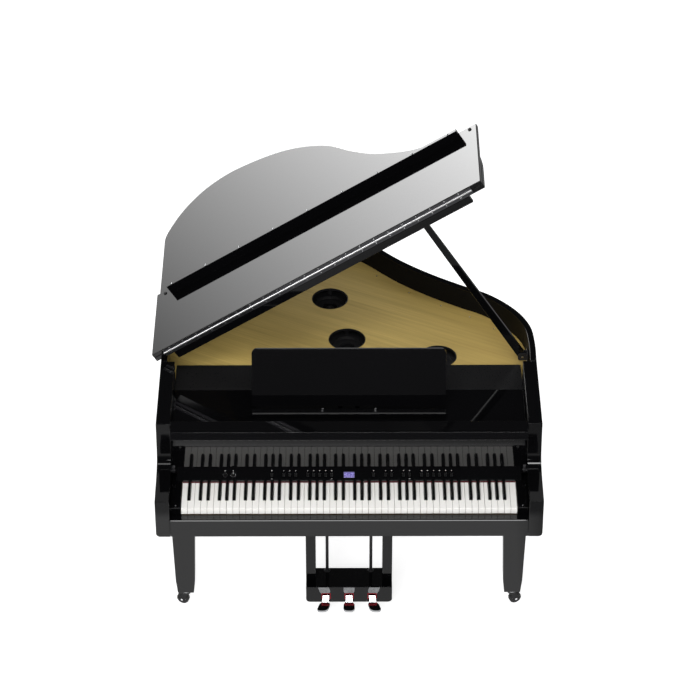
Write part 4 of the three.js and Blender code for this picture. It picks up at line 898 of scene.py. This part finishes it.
def makeStudio():
    # the sheet, sheetFront, rightEnd and lyre values shape the painted reflection that glossy rays see on the
    # floor
    studio = {"floorWhite": 0.8, "floorGlow": 0.7, "bounceGlow": 0.5, "skyFill": 0.5, "sheet": 0.97,
              "sheetFront": -0.985, "rightEnd": 0.9, "lyreHalf": 0.2, "paintedLyreShadowLevel": 0.66}
    scene = bpy.context.scene
    scene.view_settings.view_transform = "Standard"

    sheet = bmesh.new()
    bmesh.ops.create_grid(sheet, x_segments=1, y_segments=1, size=5.2)
    floor = placed(sheet, "studioFloor")
    # only reflections see this: the floor glows in a painted reflection, bright from just in front of the
    # piano backwards and dimmer at its right end, greyer further in front, with a painted shadow of the lyre
    # dimming a middle strip under the piano
    paper = Finish("whiteFloor")
    place = paper.coords()
    across = paper.node("ShaderNodeSeparateXYZ", output=0, Vector=place) - origin.x
    depth = paper.node("ShaderNodeSeparateXYZ", output=1, Vector=place) - origin.y
    sides = ((studio["rightEnd"] - across) * 4.2).clamped(0.3, 1.0)
    ahead = ((depth - studio["sheetFront"]) * 22.0).clamped()
    # painted shadow of the lyre: the middle strip under the piano is dimmed in the floor's painted reflection
    shaded = (across.math("ABSOLUTE") - studio["lyreHalf"]).clamped(0, 0.2) * 5.0
    beneath = ((depth + 0.85) * 6.0).clamped()
    under = 1.0 - beneath * (1.0 - shaded) * (1.0 - studio["paintedLyreShadowLevel"])
    distant = (0.34 - across * 0.16).clamped(0.2, 0.46)
    paintedFloorReflection = distant * (1.0 - ahead) + sides * under * ahead * studio["sheet"]
    mirrored = paper.node("ShaderNodeLightPath", output=3)
    seen = paper.node("ShaderNodeLightPath", output=0)
    plain = seen * (studio["floorGlow"] - studio["bounceGlow"]) + studio["bounceGlow"]
    level = plain * (1.0 - mirrored) + paintedFloorReflection * mirrored
    mottle = paper.noise(place, 0.6)
    base = paper.mixed(mottle, [studio["floorWhite"] * 0.99] * 3, [studio["floorWhite"]] * 3)
    shade = paper.node("ShaderNodeCombineXYZ", X=level, Y=level, Z=level)
    glow = paper.node("ShaderNodeEmission", Color=shade, Strength=1.0)
    matte = paper.node("ShaderNodeBsdfDiffuse", Color=paper.mixed(mirrored, base, (0, 0, 0)))
    both = paper.node("ShaderNodeAddShader", _0=glow, _1=matte)
    paper.node("ShaderNodeOutputMaterial", Surface=both)
    floor.data.materials.append(paper.material)

    world = bpy.data.worlds.new("studioWorld")
    scene.world = world
    world.use_nodes = True
    tree = world.node_tree
    tree.nodes.clear()
    sky = Finish.__new__(Finish)
    sky.tree = tree
    rays = tree.nodes.new("ShaderNodeLightPath")
    seen = Wire(tree, rays.outputs["Is Camera Ray"])
    glossy = Wire(tree, rays.outputs["Is Glossy Ray"])
    mirrored = (glossy + Wire(tree, rays.outputs["Is Transmission Ray"])).clamped()
    direction = sky.node("ShaderNodeTexCoord", output=0)
    height = sky.node("ShaderNodeSeparateXYZ", output=2, Vector=direction)
    reflected = sky.node("ShaderNodeValToRGB", {"stops": [
        (0.0, (0.2, 0.2, 0.2)), (0.40, (0.36, 0.36, 0.36)), (0.49, (0.36, 0.36, 0.36)),
        (0.51, (0.10, 0.10, 0.10)), (0.56, (0.06, 0.06, 0.065)),
        (0.66, (0.025, 0.025, 0.027)), (1.0, (0.015, 0.015, 0.015))]},
        Fac=(height * 0.5 + 0.5).clamped())
    fill = sky.mixed(mirrored, (studio["skyFill"],) * 3, (0, 0, 0))
    shown = sky.node("ShaderNodeMix", {"data_type": "RGBA", "blend_type": "ADD"}, output=2, _0=1.0, _6=fill,
                     _7=sky.mixed(mirrored, (0, 0, 0), reflected))
    final = sky.mixed(seen, shown, (1.0, 1.0, 1.0))
    back = sky.node("ShaderNodeBackground", Color=final, Strength=1.0)
    sky.node("ShaderNodeOutputWorld", Surface=back)

    lamps = (
        ("overheadSoft", (-0.2, -1.4, 4.3), (0.0, 0.3, 0.9), 2.4, 1.3, 74),
        ("frontSoft", (-1.0, -4.6, 3.5), (0.0, 0.2, 0.8), 2.6, 2.0, 175),
        ("backSoft", (3.4, 2.6, 1.75), (0.0, 1.0, 0.9), 1.4, 0.8, 18),
    )
    for name, place, target, width, depth, power in lamps:
        data = bpy.data.lights.new(name, "AREA")
        data.shape = "RECTANGLE"
        data.size, data.size_y, data.energy = width, depth, power
        lamp = bpy.data.objects.new(name, data)
        scene.collection.objects.link(lamp)
        lamp.location = Vector(place) + origin
        aim = Vector(target) - Vector(place)
        lamp.rotation_euler = aim.to_track_quat("-Z", "Y").to_euler()
        lamp.visible_glossy = False

    # cards that only reflections see: name, place, edge vectors, brightness
    rise = Vector((0, 0, 0.85))
    cards = (
        ("tailCard", (-2.45, 4.2, 2.25), Vector((1.35, 0, 0)), rise, 0),
        ("stripCard", (0.0, -1.5, 2.47), Vector((0.79, 0, 0)), Vector((0, 0, 0.115)), 9.0),
        ("overheadCard", (0.6, -0.25, 4.6), Vector((1.36, 0, 0)), Vector((0, 0.18, 0)), 9.0),
        ("overheadLeft", (-1.36, -0.25, 4.6), Vector((0.585, 0, 0)), Vector((0, 0.18, 0)), 2.4),
        ("armCard", (0.0, 3.0, 4.85), Vector((1.25, 0, 0)), Vector((0, 0, 1.15)), 0.34),
        ("leftCard", (-3.1, 0.2, 3.7), Vector((0, 1.5, 0)), Vector((0.5, 0, 0.65)), 4.0),
    )
    for name, place, side, up, level in cards:
        sheet = bmesh.new()
        signs = ((-1, -1), (1, -1), (1, 1), (-1, 1))
        corners = [Vector(place) + origin + side * a + up * b for a, b in signs]
        sheet.faces.new([sheet.verts.new(corner) for corner in corners])
        board = placed(sheet, name)
        board.visible_camera = False
        board.visible_diffuse = False
        board.visible_shadow = False
        look = Finish(name)
        shade = (1.0, 1.0, 1.0, 1.0)
        if not level:
            # brightness rises evenly to the right and upward, as the eye sees it
            place = look.node("ShaderNodeTexCoord", output=3)
            across = look.node("ShaderNodeSeparateXYZ", output=0, Vector=place)
            upward = look.node("ShaderNodeSeparateXYZ", output=2, Vector=place)
            grade = (across * 0.5505 + upward * 0.3398 + 2.101).math("MAXIMUM", 0.3).math("POWER", 2.4)
            shade = look.node("ShaderNodeCombineXYZ", X=grade, Y=grade, Z=grade)
        glow = look.node("ShaderNodeEmission", Color=shade, Strength=level or 1.0)
        look.node("ShaderNodeOutputMaterial", Surface=glow)
        board.data.materials.append(look.material)

    view = {"place": (-21.6, -8157, 7302), "tip": 54.334, "turn": -0.171, "lens": 148.07}
    data = bpy.data.cameras.new("photoCamera")
    data.lens = view["lens"]
    data.sensor_width = 36
    data.clip_end = 200
    camera = bpy.data.objects.new("photoCamera", data)
    scene.collection.objects.link(camera)
    camera.location = toFrame @ Vector(view["place"])
    camera.rotation_euler = (math.radians(view["tip"]), 0, math.radians(view["turn"]))
    scene.camera = camera
    print("studio ready")


makeStudio()
